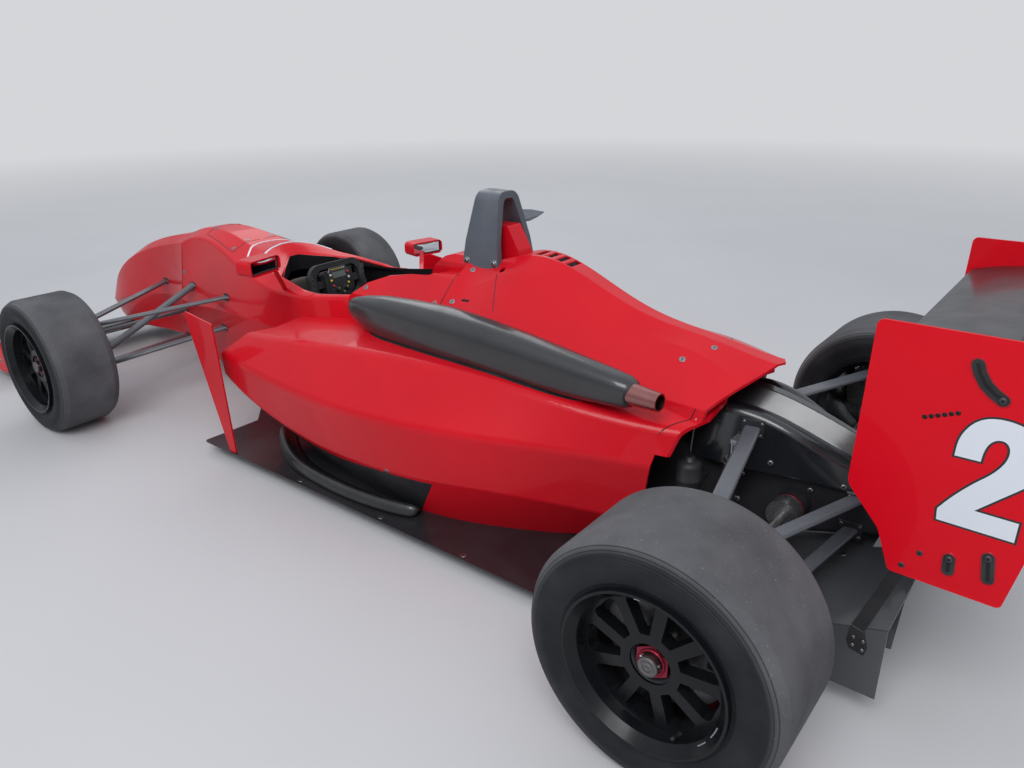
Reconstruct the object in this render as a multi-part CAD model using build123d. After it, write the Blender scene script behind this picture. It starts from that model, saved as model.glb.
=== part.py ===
# Open wheel racing car, single seat, formula type, in millimetres.
# X points forward, Y to the car's left and Z up. The ground is Z = 0, and the
# origin lies on the ground at the middle of the car's length.
import os
from math import cos, radians, sin

from build123d import *

# Driving dimensions of the whole car
LENGTH = 4350.0
WHEELBASE = 2800.0
FRONT_OVERHANG = 1000.0
FRONT_TRACK = 1595.0
REAR_TRACK = 1540.0
NOSE_X = LENGTH / 2
TAIL_X = -LENGTH / 2
FRONT_AXLE_X = NOSE_X - FRONT_OVERHANG
REAR_AXLE_X = FRONT_AXLE_X - WHEELBASE

# Wheels and tyres
FRONT_TYRE_R = 275.0
FRONT_TYRE_WIDTH = 250.0
REAR_TYRE_R = 285.0
REAR_TYRE_WIDTH = 300.0
BEAD_R = 168.0
FLANGE_R = 184.0
BARREL_WALL = 8.0
FRONT_DISH = 62.0
REAR_DISH = 60.0
SPOKES = 9
SPOKE_WIDTH = 24.0
SPOKE_PHASE = 3.0
COLLAR_R = 62.0
NUT_RECESS_R = 46.0
NUT_R = 40.0
HUB_R = 34.0
STUB_R = 20.0
STUB_CLEARANCE = 0.05
DISC_R = 139.0
DISC_THICKNESS = 12.0
RUNNING_GAP = 6.0
JOINT_R = 42.0
JOINT_LENGTH = 45.0
SHAFT_R = 14.0
OUTPUT_Y = 140.0
UPRIGHT_INNER = 112.0
UPRIGHT_TOP = 136.0

# Steering
KINGPIN_OFFSET = 70.0
KINGPIN_R = 7.0
KINGPIN_REACH = 30.0
KNUCKLE_TOP = 100.0
KNUCKLE_FOOT = -56.0
PIN_CLEARANCE = 0.05
STEERING_ARM = 100.0
RACK_DROP = 0.5
COLUMN_R = 12.0
COLUMN_TILT = 12.0
WHEEL_HUB_X = 330.0
WHEEL_HUB_Z = 570.0

# Floor and bodywork
FLOOR_Z = 45.0
FLOOR_THICKNESS = 5.0
PLANK_THICKNESS = 8.0
DECK_Z = FLOOR_Z + FLOOR_THICKNESS
FLOOR_HALF = 612.0
BULKHEAD_X = 1290.0
TUB_REAR_X = -480.0
COVER_WALL = 6.0
PLATE = 6.0
ENDPLATE_Y = 450.0
FRONT_WING_HALF = 790.0


# Outline and prism helpers

def face_across(x, points, radius):
    """Face across the car at x, from (y, z) points with rounded corners."""
    wire = FilletPolyline(*[(x, y, z) for y, z in points], radius=radius, close=True)
    return make_face(wire.edges())


def both_sides(half):
    """Closed ring of points from the left half's, top first."""
    return list(half) + [(-y, z) for y, z in reversed(half)]


def side_plate(points, y_from, y_to, radius=0.0):
    """Plate seen from the side: (x, z) points, from y_from to y_to."""
    wire = FilletPolyline(*[(x, y_from, z) for x, z in points], radius=radius, close=True)
    face = make_face(wire.edges())
    return extrude(face, amount=y_to - y_from, dir=(0, 1, 0))


def plan_slab(points, z_from, z_to, radius=0.0):
    """Slab seen from above: (x, y) points, from z_from to z_to."""
    wire = FilletPolyline(*[(x, y, z_from) for x, y in points], radius=radius, close=True)
    return extrude(make_face(wire.edges()), amount=z_to - z_from, dir=(0, 0, 1))


def front_plate(points, x_from, x_to, radius=0.0):
    """Plate seen from ahead: (y, z) points, from x_from to x_to."""
    face = face_across(x_from, points, radius)
    return extrude(face, amount=x_to - x_from, dir=(1, 0, 0))


def block(x_from, x_to, y_from, y_to, z_from, z_to):
    """Box between three pairs of limits."""
    size = Box(x_to - x_from, y_to - y_from, z_to - z_from, align=(Align.MIN,) * 3)
    return Pos(x_from, y_from, z_from) * size


def mirrored(shape):
    """The same shape on the car's other side."""
    return mirror(shape, about=Plane.XZ)


def strut(start, end, width, depth):
    """Flat oval bar from start to end, its width level."""
    path = Vector(*end) - Vector(*start)
    section = Plane(origin=start, x_dir=path.cross(Vector(0, 0, 1)), z_dir=path)
    return extrude(section * SlotOverall(width, depth), amount=path.length)


def rod(start, end, radius):
    """Round bar from start to end."""
    path = Vector(*end) - Vector(*start)
    return extrude(Plane(origin=start, z_dir=path) * Circle(radius), amount=path.length)


def largest(shape):
    """The biggest solid that a cut leaves."""
    return max(shape.solids(), key=lambda solid: solid.volume)


def wing(x_front, z_front, chord, angle, camber, thickness, y_from, y_to):
    """Cambered wing element of two arcs; a positive angle lifts its trailing edge."""
    def at(along, up):
        turn = radians(angle)
        x = x_front - along * cos(turn) + up * sin(turn)
        return (x, y_from, z_front + along * sin(turn) + up * cos(turn))
    nose, tail = at(0, 0), at(chord, 0)
    low = ThreePointArc(nose, at(chord * 0.4, -camber), tail)
    high = ThreePointArc(tail, at(chord * 0.4, thickness - camber), nose)
    face = make_face([low, high])
    return extrude(face, amount=y_to - y_from, dir=(0, 1, 0))


# Nose and tub: one outer form, cut at the front bulkhead
# columns: x, half width and z of the foot, the side, the shoulder and the crown
HULL = [
    (NOSE_X, 60, 152, 84, 205, 62, 262, 28, 276),
    (2100, 84, 130, 112, 225, 80, 335, 34, 352),
    (1800, 100, 120, 132, 300, 98, 504, 44, 536),
    (BULKHEAD_X, 125, 118, 165, 370, 122, 630, 54, 664),
    (1040, 150, 90, 195, 380, 132, 674, 60, 712),
    (600, 205, DECK_Z, 250, 420, 222, 596, 110, 640),
    (200, 240, DECK_Z, 275, 420, 256, 588, 160, 612),
    (TUB_REAR_X, 250, DECK_Z, 290, 420, 262, 598, 170, 615),
]
HULL_RADIUS = [8, 12, 14, 20, 20, 20, 20, 20]
NOSE_ROWS = slice(0, 4)
TUB_ROWS = slice(3, 8)


def hull(rows):
    faces = []
    for row, radius in zip(HULL[rows], HULL_RADIUS[rows]):
        x, foot_y, foot_z, side_y, side_z, shoulder_y, shoulder_z, crown_y, crown_z = row
        half = [(foot_y, foot_z), (side_y, side_z), (shoulder_y, shoulder_z), (crown_y, crown_z)]
        faces.append(face_across(x, both_sides(half), radius))
    return loft(faces)


# Cockpit space, columns: x, half width and z of the foot, the side and the top
COCKPIT = [
    (-440, 220, 72, 262, 420, 240, 700),
    (450, 195, 72, 238, 420, 218, 580),
    (1000, 105, 130, 150, 360, 100, 560),
]
SEAT_FLOOR_Z = 72.0
SEAT_HALF = 168.0
# Cockpit opening from above, left half: x, y
OPENING = [(600, 22), (430, 186), (150, 232), (-440, 222)]


def opening(grow, z_from, z_to):
    points = OPENING + [(x, -y) for x, y in reversed(OPENING)]
    wire = FilletPolyline(*[(x, y, z_from) for x, y in points], radius=20.0, close=True)
    face = make_face(wire.edges())
    if grow:
        face = offset(face, amount=grow)
    return extrude(face, amount=z_to - z_from, dir=(0, 0, 1))


def cockpit_space():
    faces = []
    for x, foot_y, foot_z, side_y, side_z, top_y, top_z in COCKPIT:
        half = [(foot_y, foot_z), (side_y, side_z), (top_y, top_z)]
        faces.append(face_across(x, both_sides(half), 25))
    space = loft(faces, ruled=True)
    return space - block(-500, 1100, -400, 400, 585, 900)


DASH_X = 470.0
DASH_THICKNESS = 10.0
RACK_X = FRONT_AXLE_X + STEERING_ARM
RACK_Z = FRONT_TYRE_R + 43.0
RACK_R = 10.0


def column_point(distance):
    """Point on the steering column, ahead of the steering wheel's boss."""
    tilt = radians(COLUMN_TILT)
    return (WHEEL_HUB_X + distance * cos(tilt), 0.0, WHEEL_HUB_Z - distance * sin(tilt))


def tub(form):
    body = form - cockpit_space()
    body -= opening(0, 540, 900)
    dash = front_plate([(-215, 380), (215, 380), (215, 575), (-215, 575)],
                       DASH_X, DASH_X + DASH_THICKNESS, 15)
    dash = dash & form
    body += dash & cockpit_space()
    body -= rod(column_point(60), column_point(260), COLUMN_R + STUB_CLEARANCE)
    body -= rod((RACK_X, -400, RACK_Z), (RACK_X, 400, RACK_Z), RACK_R + RUNNING_GAP)
    return largest(body)


def windscreen(form):
    profile = [(700, 560), (655, 668), (600, 684), (560, 680), (240, 622), (240, 560)]
    body = side_plate(profile, -300, 300, 6)
    body &= opening(26, 560, 800)
    body -= opening(6, 500, 900)
    body -= form
    return largest(body)


# Engine cover, columns: x, half width and z of the foot, flank, shoulder, ridge
COVER = [
    (TUB_REAR_X, 262, 520, 262, 640, 165, 736, 82, 788),
    (-600, 275, 498, 259, 641, 142, 744, 64, 799),
    (-700, 285, 480, 258, 645, 110, 780, 46, 822),
    (-860, 295, 455, 250, 625, 92, 748, 34, 795),
    (-1180, 280, 425, 228, 556, 84, 650, 24, 683),
    (-1350, 270, 430, 235, 545, 100, 630, 22, 657),
    (-1560, 240, 440, 200, 560, 100, 618, 20, 638),
]

HEADREST_HALF = 258.0
HEADREST_GAP = 165.0


# Pad behind the head, from the side: x, z
HEAD_PAD = [(TUB_REAR_X, 600), (TUB_REAR_X, 794), (-430, 800), (-372, 786), (-326, 745), (-300, 690),
            (-292, 600)]
HEAD_PAD_HALF = 102.0


def headrest(form, pods):
    profile = [(-30, 560), (-52, 629), (-116, 681), (-190, 709), (-330, 735),
               (TUB_REAR_X, 748), (TUB_REAR_X, 560)]
    x, foot_y, foot_z, flank_y, flank_z, shoulder_y, shoulder_z, ridge_y, ridge_z = COVER[0]
    section = [(flank_y, foot_z), (flank_y, flank_z), (shoulder_y, shoulder_z), (ridge_y, ridge_z)]
    body = side_plate(profile, -HEADREST_HALF, HEADREST_HALF, 8)
    body &= front_plate(both_sides(section), TUB_REAR_X, 100)
    space = plan_slab([(100, -HEADREST_GAP - 40), (100, HEADREST_GAP + 40),
                       (-400, HEADREST_GAP), (-400, -HEADREST_GAP)], 500, 900, 50)
    pad = side_plate(HEAD_PAD, -HEAD_PAD_HALF - 20, HEAD_PAD_HALF + 20, [0, 0, 20, 30, 30, 20, 0])
    outline = [(HEAD_PAD_HALF, 550), (HEAD_PAD_HALF, 770), (ridge_y, ridge_z + 8)]
    pad &= front_plate(both_sides(outline), TUB_REAR_X - 20, 0, [0, 10, 14, 14, 10, 0])
    body = (body - space + pad) - form - cockpit_space()
    for pod in pods:
        body -= pod
    return largest(body)


def seat():
    back = [(-405, 550), (-270, 150), (-230, SEAT_FLOOR_Z), (430, SEAT_FLOOR_Z), (420, 100),
            (160, 100), (-225, 170), (-375, 555)]
    shell = side_plate(back, -SEAT_HALF, SEAT_HALF, 8)
    sides = side_plate([(-405, 550), (-270, 150), (-230, SEAT_FLOOR_Z), (200, SEAT_FLOOR_Z),
                        (120, 200), (-120, 260), (-330, 550)], -SEAT_HALF, SEAT_HALF, 10)
    sides -= block(-500, 500, -SEAT_HALF + 20, SEAT_HALF - 20, 0, 900)
    return shell + sides


# Roll hoop: an arch across the car, tapered from the side
HOOP_HALF = 102.0
HOOP_TOP_HALF = 46.0
HOOP_TOP = 1005.0
HOOP_FOOT = 728.0
HOOP_WALL = 22.0


def roll_hoop(keep_out):
    waist = HOOP_HALF - 14, HOOP_FOOT + 122
    outer = [(HOOP_HALF, HOOP_FOOT), waist, (HOOP_TOP_HALF, HOOP_TOP)]
    inner = [(y - HOOP_WALL, z) for y, z in outer[:2]]
    inner = [(HOOP_HALF - HOOP_WALL + 2, HOOP_FOOT - 20), inner[1],
             (HOOP_TOP_HALF - HOOP_WALL, HOOP_TOP - HOOP_WALL)]
    arch = front_plate(both_sides(outer), -660, -440, [1, 60, 40, 40, 60, 1])
    arch -= front_plate(both_sides(inner), -670, -430, [1, 50, 22, 22, 50, 1])
    side = [(-446, HOOP_FOOT - 30), (-482, HOOP_TOP + 5), (-572, HOOP_TOP + 5), (-616, HOOP_FOOT - 30)]
    arch &= side_plate(side, -200, 200, 12)
    for other in keep_out:
        arch -= other
    return largest(arch)


FAIRING_HALF = 34.0


def hoop_fairing(keep_out):
    """Headrest fairing that fills the foot of the arch."""
    profile = [(-500, 740), (-505, 880), (-520, 900), (-596, 900), (-640, 825), (-660, 740)]
    body = side_plate(profile, -FAIRING_HALF, FAIRING_HALF, 10)
    for other in keep_out:
        body -= other
    return largest(body)


# Sidepod, left: x, top inner z, then y and z of shoulder, side, hip and foot
POD = [
    (345, 492, 478, 486, 556, 425, 552, 340, 480, 262),
    (100, 535, 490, 510, 575, 400, 560, 250, 400, 60),
    (-200, 580, 480, 540, 590, 390, 555, 200, 450, DECK_Z),
    (-560, 590, 450, 560, 575, 400, 540, 210, 470, DECK_Z),
    (-1000, 575, 380, 530, 450, 400, 410, 210, 310, DECK_Z),
    (-1420, 545, 280, 505, 320, 400, 290, 200, 230, DECK_Z),
]
POD_INNER_Y = 120.0
# The pod's front lip from above, as x, y
POD_LIP = [(230, 0), (230, 265), (201, 400), (262, 490), (336, 556), (345, 800), (500, 800), (500, 0)]
# The bodywork's open rear end: its V from above, left half as x, y, and the slant
# of the sidepods' tails from the side, as x, z
REAR_VEE = [(-1524, 0), (-1453, 150), (-1400, 262), (-1330, 345), (-1310, 420), (-1310, 800)]
REAR_SLANT = [(-1320, 425), (-1230, 0), (-2200, 0), (-2200, 425)]
# Slots behind the roll hoop: x and z of each middle
LOUVRES = [(-717, 820), (-757, 816), (-796, 808), (-833, 798)]
LOUVRE_LENGTH = 20.0
LOUVRE_WIDTH = 58.0


def cover_form(shrink):
    faces = []
    for x, foot_y, foot_z, flank_y, flank_z, shoulder_y, shoulder_z, ridge_y, ridge_z in COVER:
        half = [(foot_y - shrink, foot_z - shrink * 3), (flank_y - shrink, flank_z - shrink),
                (shoulder_y - shrink, shoulder_z - shrink),
                (max(ridge_y - shrink / 2, 5), ridge_z - shrink)]
        faces.append(face_across(x, both_sides(half), 10))
    return loft(faces)


def pod_form(shrink):
    faces = []
    for row in POD:
        x, top_z, shoulder_y, shoulder_z, side_y, side_z, hip_y, hip_z, foot_y, foot_z = row
        inner_y = POD_INNER_Y - shrink * 10
        drop = shrink * 3
        slope = (hip_y - foot_y) / (hip_z - foot_z)
        points = [(inner_y, top_z - shrink), (shoulder_y - shrink, shoulder_z - shrink),
                  (side_y - shrink, side_z), (hip_y - shrink, hip_z),
                  (foot_y - shrink - slope * drop, foot_z - drop), (inner_y, foot_z - drop)]
        faces.append(face_across(x, points, [1, 40, 40, 30, 1, 1]))
    return loft(faces)


def rear_cut():
    half = [(-2200, 800)] + [(x, y) for x, y in reversed(REAR_VEE)]
    points = half + [(x, -y) for x, y in reversed(half[:-1])]
    return plan_slab(points, 0, 900) + side_plate(REAR_SLANT, -800, 800)


def engine_cover(outer, pods):
    body = outer - cover_form(COVER_WALL) - rear_cut()
    for pod in pods:
        body -= pod
    for x, z in LOUVRES:
        body -= Pos(x, 0, z - 20) * Box(LOUVRE_LENGTH, LOUVRE_WIDTH, 60)
    for side in (1, -1):
        body -= rod((-630, side * 90, 735), (-630, side * 118, 820), 11)
    return largest(body)


UNDERCUT = [(360, 355), (293, 289), (155, 257), (22, 215), (-81, 175), (-258, 173), (-442, 192),
            (-675, 200), (-540, 0), (360, 0)]


def sidepod(outer, form):
    shell = outer - pod_form(COVER_WALL) - form - rear_cut() - plan_slab(POD_LIP, 0, 700)
    panel = side_plate(UNDERCUT, 0, 800)
    return largest(shell - panel), largest(shell & panel)


# Airbox cover on the left, columns: x, centre y and z, half height, half width
AIRBOX = [
    (-150, 325, 625, 28, 22),
    (-330, 330, 617, 75, 53),
    (-600, 330, 608, 93, 69),
    (-900, 322, 594, 75, 59),
    (-1225, 318, 578, 43, 42),
]


def airbox(keep_out):
    faces = []
    for x, y, z, tall, wide in AIRBOX:
        half = [(0.45 * wide, tall), (wide, 0.45 * tall), (wide, -0.45 * tall), (0.45 * wide, -tall)]
        ring = [(y + across, z + up) for across, up in half]
        ring += [(y - across, z + up) for across, up in reversed(half)]
        faces.append(face_across(x, ring, 0.4 * wide))
    body = loft(faces)
    for other in keep_out:
        body -= other
    return largest(body)


# Exhaust cone's two ends: x, y, z, radius
EXHAUST = [(-1180, 318, 578, 35), (-1329, 330, 578, 25)]
EXHAUST_WALL = 5.0


def exhaust(keep_out):
    (x_in, y_in, z_in, r_in), (x_out, y_out, z_out, r_out) = EXHAUST
    way = Vector(x_out - x_in, y_out - y_in, z_out - z_in)
    start = Plane(origin=(x_in, y_in, z_in), z_dir=way)
    end = Plane(origin=(x_out, y_out, z_out), z_dir=way)
    bore = Plane(origin=Vector(x_out, y_out, z_out) + way * 0.1, z_dir=way)
    pipe = loft([start * Circle(r_in), end * Circle(r_out)])
    pipe -= loft([start * Circle(r_in - EXHAUST_WALL), bore * Circle(r_out - EXHAUST_WALL)])
    for other in keep_out:
        pipe -= other
    return largest(pipe)


# Floor tray from above, left half: x, y
FLOOR = [(720, 150), (454, 376), (459, FLOOR_HALF), (-1120, 590), (-1270, 480), (-1330, 470)]


def floor():
    points = FLOOR + [(x, -y) for x, y in reversed(FLOOR)]
    tray = plan_slab(points, FLOOR_Z, DECK_Z, 12)
    plank = plan_slab([(650, -150), (650, 150), (-1330, 150), (-1330, -150)],
                      FLOOR_Z - PLANK_THICKNESS, FLOOR_Z, 20)
    return tray + plank


DIFFUSER_X = (-1330.0, -1960.0)
DIFFUSER_RISE = 200.0
DIFFUSER_HALF = 440.0
STRAKES = [(440, 0), (300, 40), (160, 90)]


def diffuser():
    start, end = DIFFUSER_X
    roof = [(start, FLOOR_Z), (start, DECK_Z), (end, DECK_Z + DIFFUSER_RISE),
            (end, FLOOR_Z + DIFFUSER_RISE)]
    body = side_plate(roof, -DIFFUSER_HALF, DIFFUSER_HALF)
    for y, trim in STRAKES:
        fence = [(start - 60, FLOOR_Z + 12), (start - 60, DECK_Z + 20), (end, DECK_Z + DIFFUSER_RISE - 3),
                 (end + trim * 0.2, 60 + trim)]
        for side in (1, -1):
            body += side_plate(fence, side * y - 2, side * y + 2)
    return body


VANE = [(464, 569), (288, 549), (262, DECK_Z), (300, DECK_Z)]


def turning_vanes():
    left = side_plate(VANE, 598, 598 + PLATE, 8)
    return Compound([left.solid(), mirrored(left).solid()])


# Mirrors, columns: glass middle x, y, z, toe towards the driver, the stalk's foot x, y, z
# and its top x, y, z
MIRRORS = [
    (215, 400, 728, 12, 362, 228, 576, 240, 352, 706),
    (200, -400, 648, -12, 92, -248, 598, 224, -384, 628),
]
MIRROR_WIDE = 150.0
MIRROR_TALL = 58.0
MIRROR_DEEP = 68.0
GLASS_DEPTH = 12.0
MIRROR_RIM = 5.0


def mirrors(form):
    solids = []
    for x, y, z, toe, foot_x, foot_y, foot_z, top_x, top_y, top_z in MIRRORS:
        shell = block(0, MIRROR_DEEP, -MIRROR_WIDE / 2, MIRROR_WIDE / 2, -MIRROR_TALL / 2, MIRROR_TALL / 2)
        shell = fillet(shell.edges().filter_by(Axis.X), 20)
        reach, rise = MIRROR_WIDE / 2 - MIRROR_RIM, MIRROR_TALL / 2 - MIRROR_RIM
        shell -= block(-1, GLASS_DEPTH, -reach, reach, -rise, rise)
        head = Pos(x, y, z) * Rot(0, 0, toe) * shell
        stalk = strut((foot_x, foot_y, foot_z), (top_x, top_y, top_z), 18, 10)
        solids.append(largest((head + stalk) - form))
    return Compound(solids)


# Front wing, columns: x and z of the leading edge, chord, angle
FRONT_PLANES = [(2150, 92, 250, 3), (1935, 122, 110, 18)]


def front_wing(form):
    half = FRONT_WING_HALF - PLATE
    (x, z, chord, angle), flap = FRONT_PLANES
    main = wing(x, z, chord, angle, 10, 22, -half, half)
    for y in (-45, 45 - PLATE):
        pylon = side_plate([(x - 40, 80), (x - 60, 200), (x - 190, 200), (x - 200, 80)], y, y + PLATE)
        main += pylon - form
    main = largest(main)
    x, z, chord, angle = flap
    left = wing(x, z, chord, angle, 12, 20, 150, half)
    return Compound([main, left.solid(), mirrored(left).solid()])


def front_endplates():
    shape = [(2165, 60), (2165, 150), (2080, 205), (1850, 215), (1835, 60)]
    left = side_plate(shape, FRONT_WING_HALF - PLATE, FRONT_WING_HALF, 12)
    return Compound([left.solid(), mirrored(left).solid()])


def radiators():
    core = side_plate([(40, DECK_Z), (-40, 430), (-100, 430), (-20, DECK_Z)], 300, 400)
    return Compound([core.solid(), mirrored(core).solid()])


ENGINE_REAR_X = -1060.0


def engine_block():
    return block(ENGINE_REAR_X, TUB_REAR_X, -150, 150, DECK_Z, 480)


GEARBOX_REAR_X = -1850.0
SOCKET_Z = 345.0
SOCKET_R = 13.0
SOCKET_DEPTH = 60.0


def gearbox():
    faces = []
    for x, half, low, high in ((ENGINE_REAR_X, 150, 120, 400), (-1400, 120, 130, 390),
                               (GEARBOX_REAR_X, 70, 245, 370)):
        faces.append(face_across(x, [(half, low), (half, high), (-half, high), (-half, low)], 20))
    outputs = rod((REAR_AXLE_X, -OUTPUT_Y, REAR_TYRE_R), (REAR_AXLE_X, OUTPUT_Y, REAR_TYRE_R), JOINT_R)
    socket = rod((GEARBOX_REAR_X + SOCKET_DEPTH, 0, SOCKET_Z), (GEARBOX_REAR_X - 10, 0, SOCKET_Z), SOCKET_R)
    return loft(faces, ruled=True) + outputs - socket


# Gearbox shell, columns: x, then y and z of foot, crest, valley and spine
SHELL = [
    (-1335, 150, 360, 128, 496, 62, 498, 14, 546),
    (-1450, 150, 360, 130, 540, 62, 505, 16, 556),
    (-1650, 116, 360, 96, 478, 50, 455, 12, 512),
    (-1852, 76, 330, 60, 400, 34, 395, 10, 440),
]


def shell_form(shrink):
    faces = []
    for x, foot_y, foot_z, crest_y, crest_z, valley_y, valley_z, spine_y, spine_z in SHELL:
        half = [(foot_y - shrink, foot_z - shrink * 3), (crest_y - shrink, crest_z - shrink),
                (valley_y - shrink, valley_z - shrink), (spine_y - shrink / 2, spine_z - shrink)]
        faces.append(face_across(x, both_sides(half), [6, 22, 14, 5, 5, 14, 22, 6]))
    return loft(faces)


def gearbox_fairings(gear, dampers_both, mount):
    return largest(shell_form(0) - shell_form(PLATE) - gear - dampers_both - mount)


# Rear wing, columns: x and z of the leading edge, chord, angle
REAR_PLANES = [(-1850, 845, 240, 6), (-2050, 868, 120, 26), (-1900, 440, 190, 8)]


def rear_wing():
    """The wing's planes, with the beam plane below them last."""
    half = ENDPLATE_Y - PLATE
    planes = []
    for x, z, chord, angle in REAR_PLANES:
        planes.append(wing(x, z, chord, angle, 16, 26, -half, half).solid())
    return planes


def rear_endplate():
    shape = [(-1837, 930), (-1831, 574), (-1903, 491), (-1936, 402), (TAIL_X + 34, 399), (TAIL_X, 600),
             (TAIL_X, 930)]
    return side_plate(shape, ENDPLATE_Y - PLATE, ENDPLATE_Y, [14, 40, 40, 12, 12, 12, 40])


def wing_mount(gear, beam):
    shape = [(-1760, 330), (-1840, 395), (-1930, 470), (-2050, 470), (-1990, 400), (-1850, 250)]
    pair = []
    for y in (55, -55 - PLATE):
        arm = side_plate(shape, y, y + PLATE, 10) - gear - beam
        pair.append(largest(arm))
    return Compound(pair)


def rear_light():
    return block(-1905, -1850, -35, 35, 260, 320)


# Wheels: half outline of a tyre and turned outline of a rim, as (radius, y)

def tyre(outer_r, width):
    half = width / 2
    bead = half - 21
    points = [(BEAD_R, -bead), (FLANGE_R + 1, -bead - 8), (outer_r - 50, -half),
              (outer_r - 14, -half + 12), (outer_r, -half + 36),
              (outer_r, half - 36), (outer_r - 14, half - 12), (outer_r - 50, half),
              (FLANGE_R + 1, bead + 8), (BEAD_R, bead)]
    radii = [0, 4, 36, 14, 12, 12, 14, 36, 4, 0]
    wire = FilletPolyline(*points, radius=radii, close=True)
    return revolve(make_face(wire.edges()), axis=Axis.Y)


def rim(width, dish):
    half = width / 2
    bead = half - 21
    lip = half + 1
    inner_r = BEAD_R - BARREL_WALL
    face_y = lip - dish
    slope = 8 * (FLANGE_R - BEAD_R) / (FLANGE_R + 1 - BEAD_R)
    points = [(BEAD_R, -bead), (BEAD_R, bead), (FLANGE_R, bead + slope), (FLANGE_R, lip),
              (FLANGE_R - 6, lip), (inner_r, bead), (inner_r - 4, face_y + 10),
              (COLLAR_R, face_y + 16), (NUT_RECESS_R, face_y + 16), (NUT_RECESS_R, face_y - 12),
              (HUB_R, face_y - 12), (HUB_R, face_y - 24), (COLLAR_R, face_y - 24),
              (COLLAR_R + 6, face_y - 14), (inner_r - 6, face_y - 22), (inner_r, face_y - 40),
              (inner_r, -bead), (FLANGE_R - 6, -lip), (FLANGE_R, -lip), (FLANGE_R, -bead - slope)]
    wire = Polyline(*points, close=True)
    body = revolve(make_face(wire.edges()), axis=Axis.Y)
    inner, outer = COLLAR_R + 5, inner_r - 13
    gap_in = sin(radians(180 / SPOKES)) * inner - SPOKE_WIDTH / 2
    gap_out = sin(radians(180 / SPOKES)) * outer - SPOKE_WIDTH / 2
    for index in range(SPOKES):
        plane = Plane(origin=(0, face_y - 60, 0), x_dir=(1, 0, 0), z_dir=(0, 1, 0)).rotated(
            (0, SPOKE_PHASE + index * 360 / SPOKES, 0))
        wire = FilletPolyline((inner, -gap_in), (outer, -gap_out), (outer, gap_out), (inner, gap_in),
                              radius=[3, 12, 12, 3], close=True)
        body -= extrude(plane * make_face(wire.edges()), amount=110)
    return body


def turned(points):
    """Solid of revolution about Y from (radius, y) points."""
    return revolve(make_face(Polyline(*points, close=True).edges()), axis=Axis.Y)


def wheel_hub(width, dish, driven):
    """Brake disc, hub and centre nut, with the driveshaft where it is driven."""
    lip = width / 2 + 1
    face_y = lip - dish
    disc_y = face_y - 60
    bore = 0.0 if driven else STUB_R + STUB_CLEARANCE
    points = [(bore, disc_y - 30), (HUB_R, disc_y - 30), (HUB_R, disc_y - DISC_THICKNESS / 2),
              (DISC_R, disc_y - DISC_THICKNESS / 2), (DISC_R, disc_y + DISC_THICKNESS / 2),
              (HUB_R, disc_y + DISC_THICKNESS / 2), (HUB_R, face_y - 12), (bore, face_y - 12)]
    body = turned(points)
    nut = extrude(Plane(origin=(0, face_y - 12, 0), z_dir=(0, 1, 0)) * RegularPolygon(NUT_R, 6), amount=20)
    body += nut + rod((0, face_y + 8, 0), (0, face_y + 27, 0), 22)
    if driven:
        outer = -UPRIGHT_INNER - RUNNING_GAP
        inner = OUTPUT_Y + RUNNING_GAP - REAR_TRACK / 2
        body += rod((0, disc_y - 30, 0), (0, outer, 0), STUB_R)
        body += rod((0, outer, 0), (0, outer - JOINT_LENGTH, 0), JOINT_R)
        body += rod((0, outer, 0), (0, inner, 0), SHAFT_R)
        body += rod((0, inner + JOINT_LENGTH, 0), (0, inner, 0), JOINT_R)
    return body


def caliper(disc_y):
    """Brake caliper behind the disc's edge, with its bracket to the upright."""
    inner = disc_y - DISC_THICKNESS / 2 - RUNNING_GAP
    outer = disc_y + DISC_THICKNESS / 2 + RUNNING_GAP
    body = block(-140, -98, inner - 36, outer + 16, -46, 46)
    body += block(-151, -140, inner - 36, outer + 16, -15, 15)
    body -= rod((0, inner, 0), (0, outer, 0), DISC_R + RUNNING_GAP)
    return body + block(-120, -30, inner - 52, inner - 27, -30, 30)


def knuckle(width, dish):
    """Front upright with stub axle, kingpin studs, steering arm and caliper."""
    lip = width / 2 + 1
    face_y = lip - dish
    disc_y = face_y - 60
    back_y = disc_y - 30 - RUNNING_GAP
    king_y = -KINGPIN_OFFSET
    stub = rod((0, king_y, 0), (0, face_y - 22, 0), STUB_R)
    post = block(-38, 38, king_y - 22, back_y, KNUCKLE_FOOT, KNUCKLE_TOP)
    post -= block(-22, 22, king_y - 30, king_y - 10, KNUCKLE_FOOT + 20, KNUCKLE_TOP - 20)
    post += rod((0, king_y, KNUCKLE_TOP), (0, king_y, KNUCKLE_TOP + KINGPIN_REACH), KINGPIN_R)
    post += rod((0, king_y, KNUCKLE_FOOT), (0, king_y, KNUCKLE_FOOT - KINGPIN_REACH), KINGPIN_R)
    arm_z = RACK_Z - FRONT_TYRE_R + RACK_R + RACK_DROP
    post += block(20, STEERING_ARM + 14, king_y - 14, king_y + 14, arm_z, arm_z + 14)
    return post + stub + caliper(disc_y)


def rear_upright(width, dish):
    """Rear upright, bored for the driven hub, with its brake caliper."""
    disc_y = width / 2 + 1 - dish - 60
    back_y = disc_y - 30 - RUNNING_GAP
    post = block(-40, 40, -UPRIGHT_INNER, back_y, -124, UPRIGHT_TOP)
    post -= rod((0, -UPRIGHT_INNER - 5, 0), (0, back_y + 5, 0), STUB_R + STUB_CLEARANCE)
    return post + caliper(disc_y)


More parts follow.
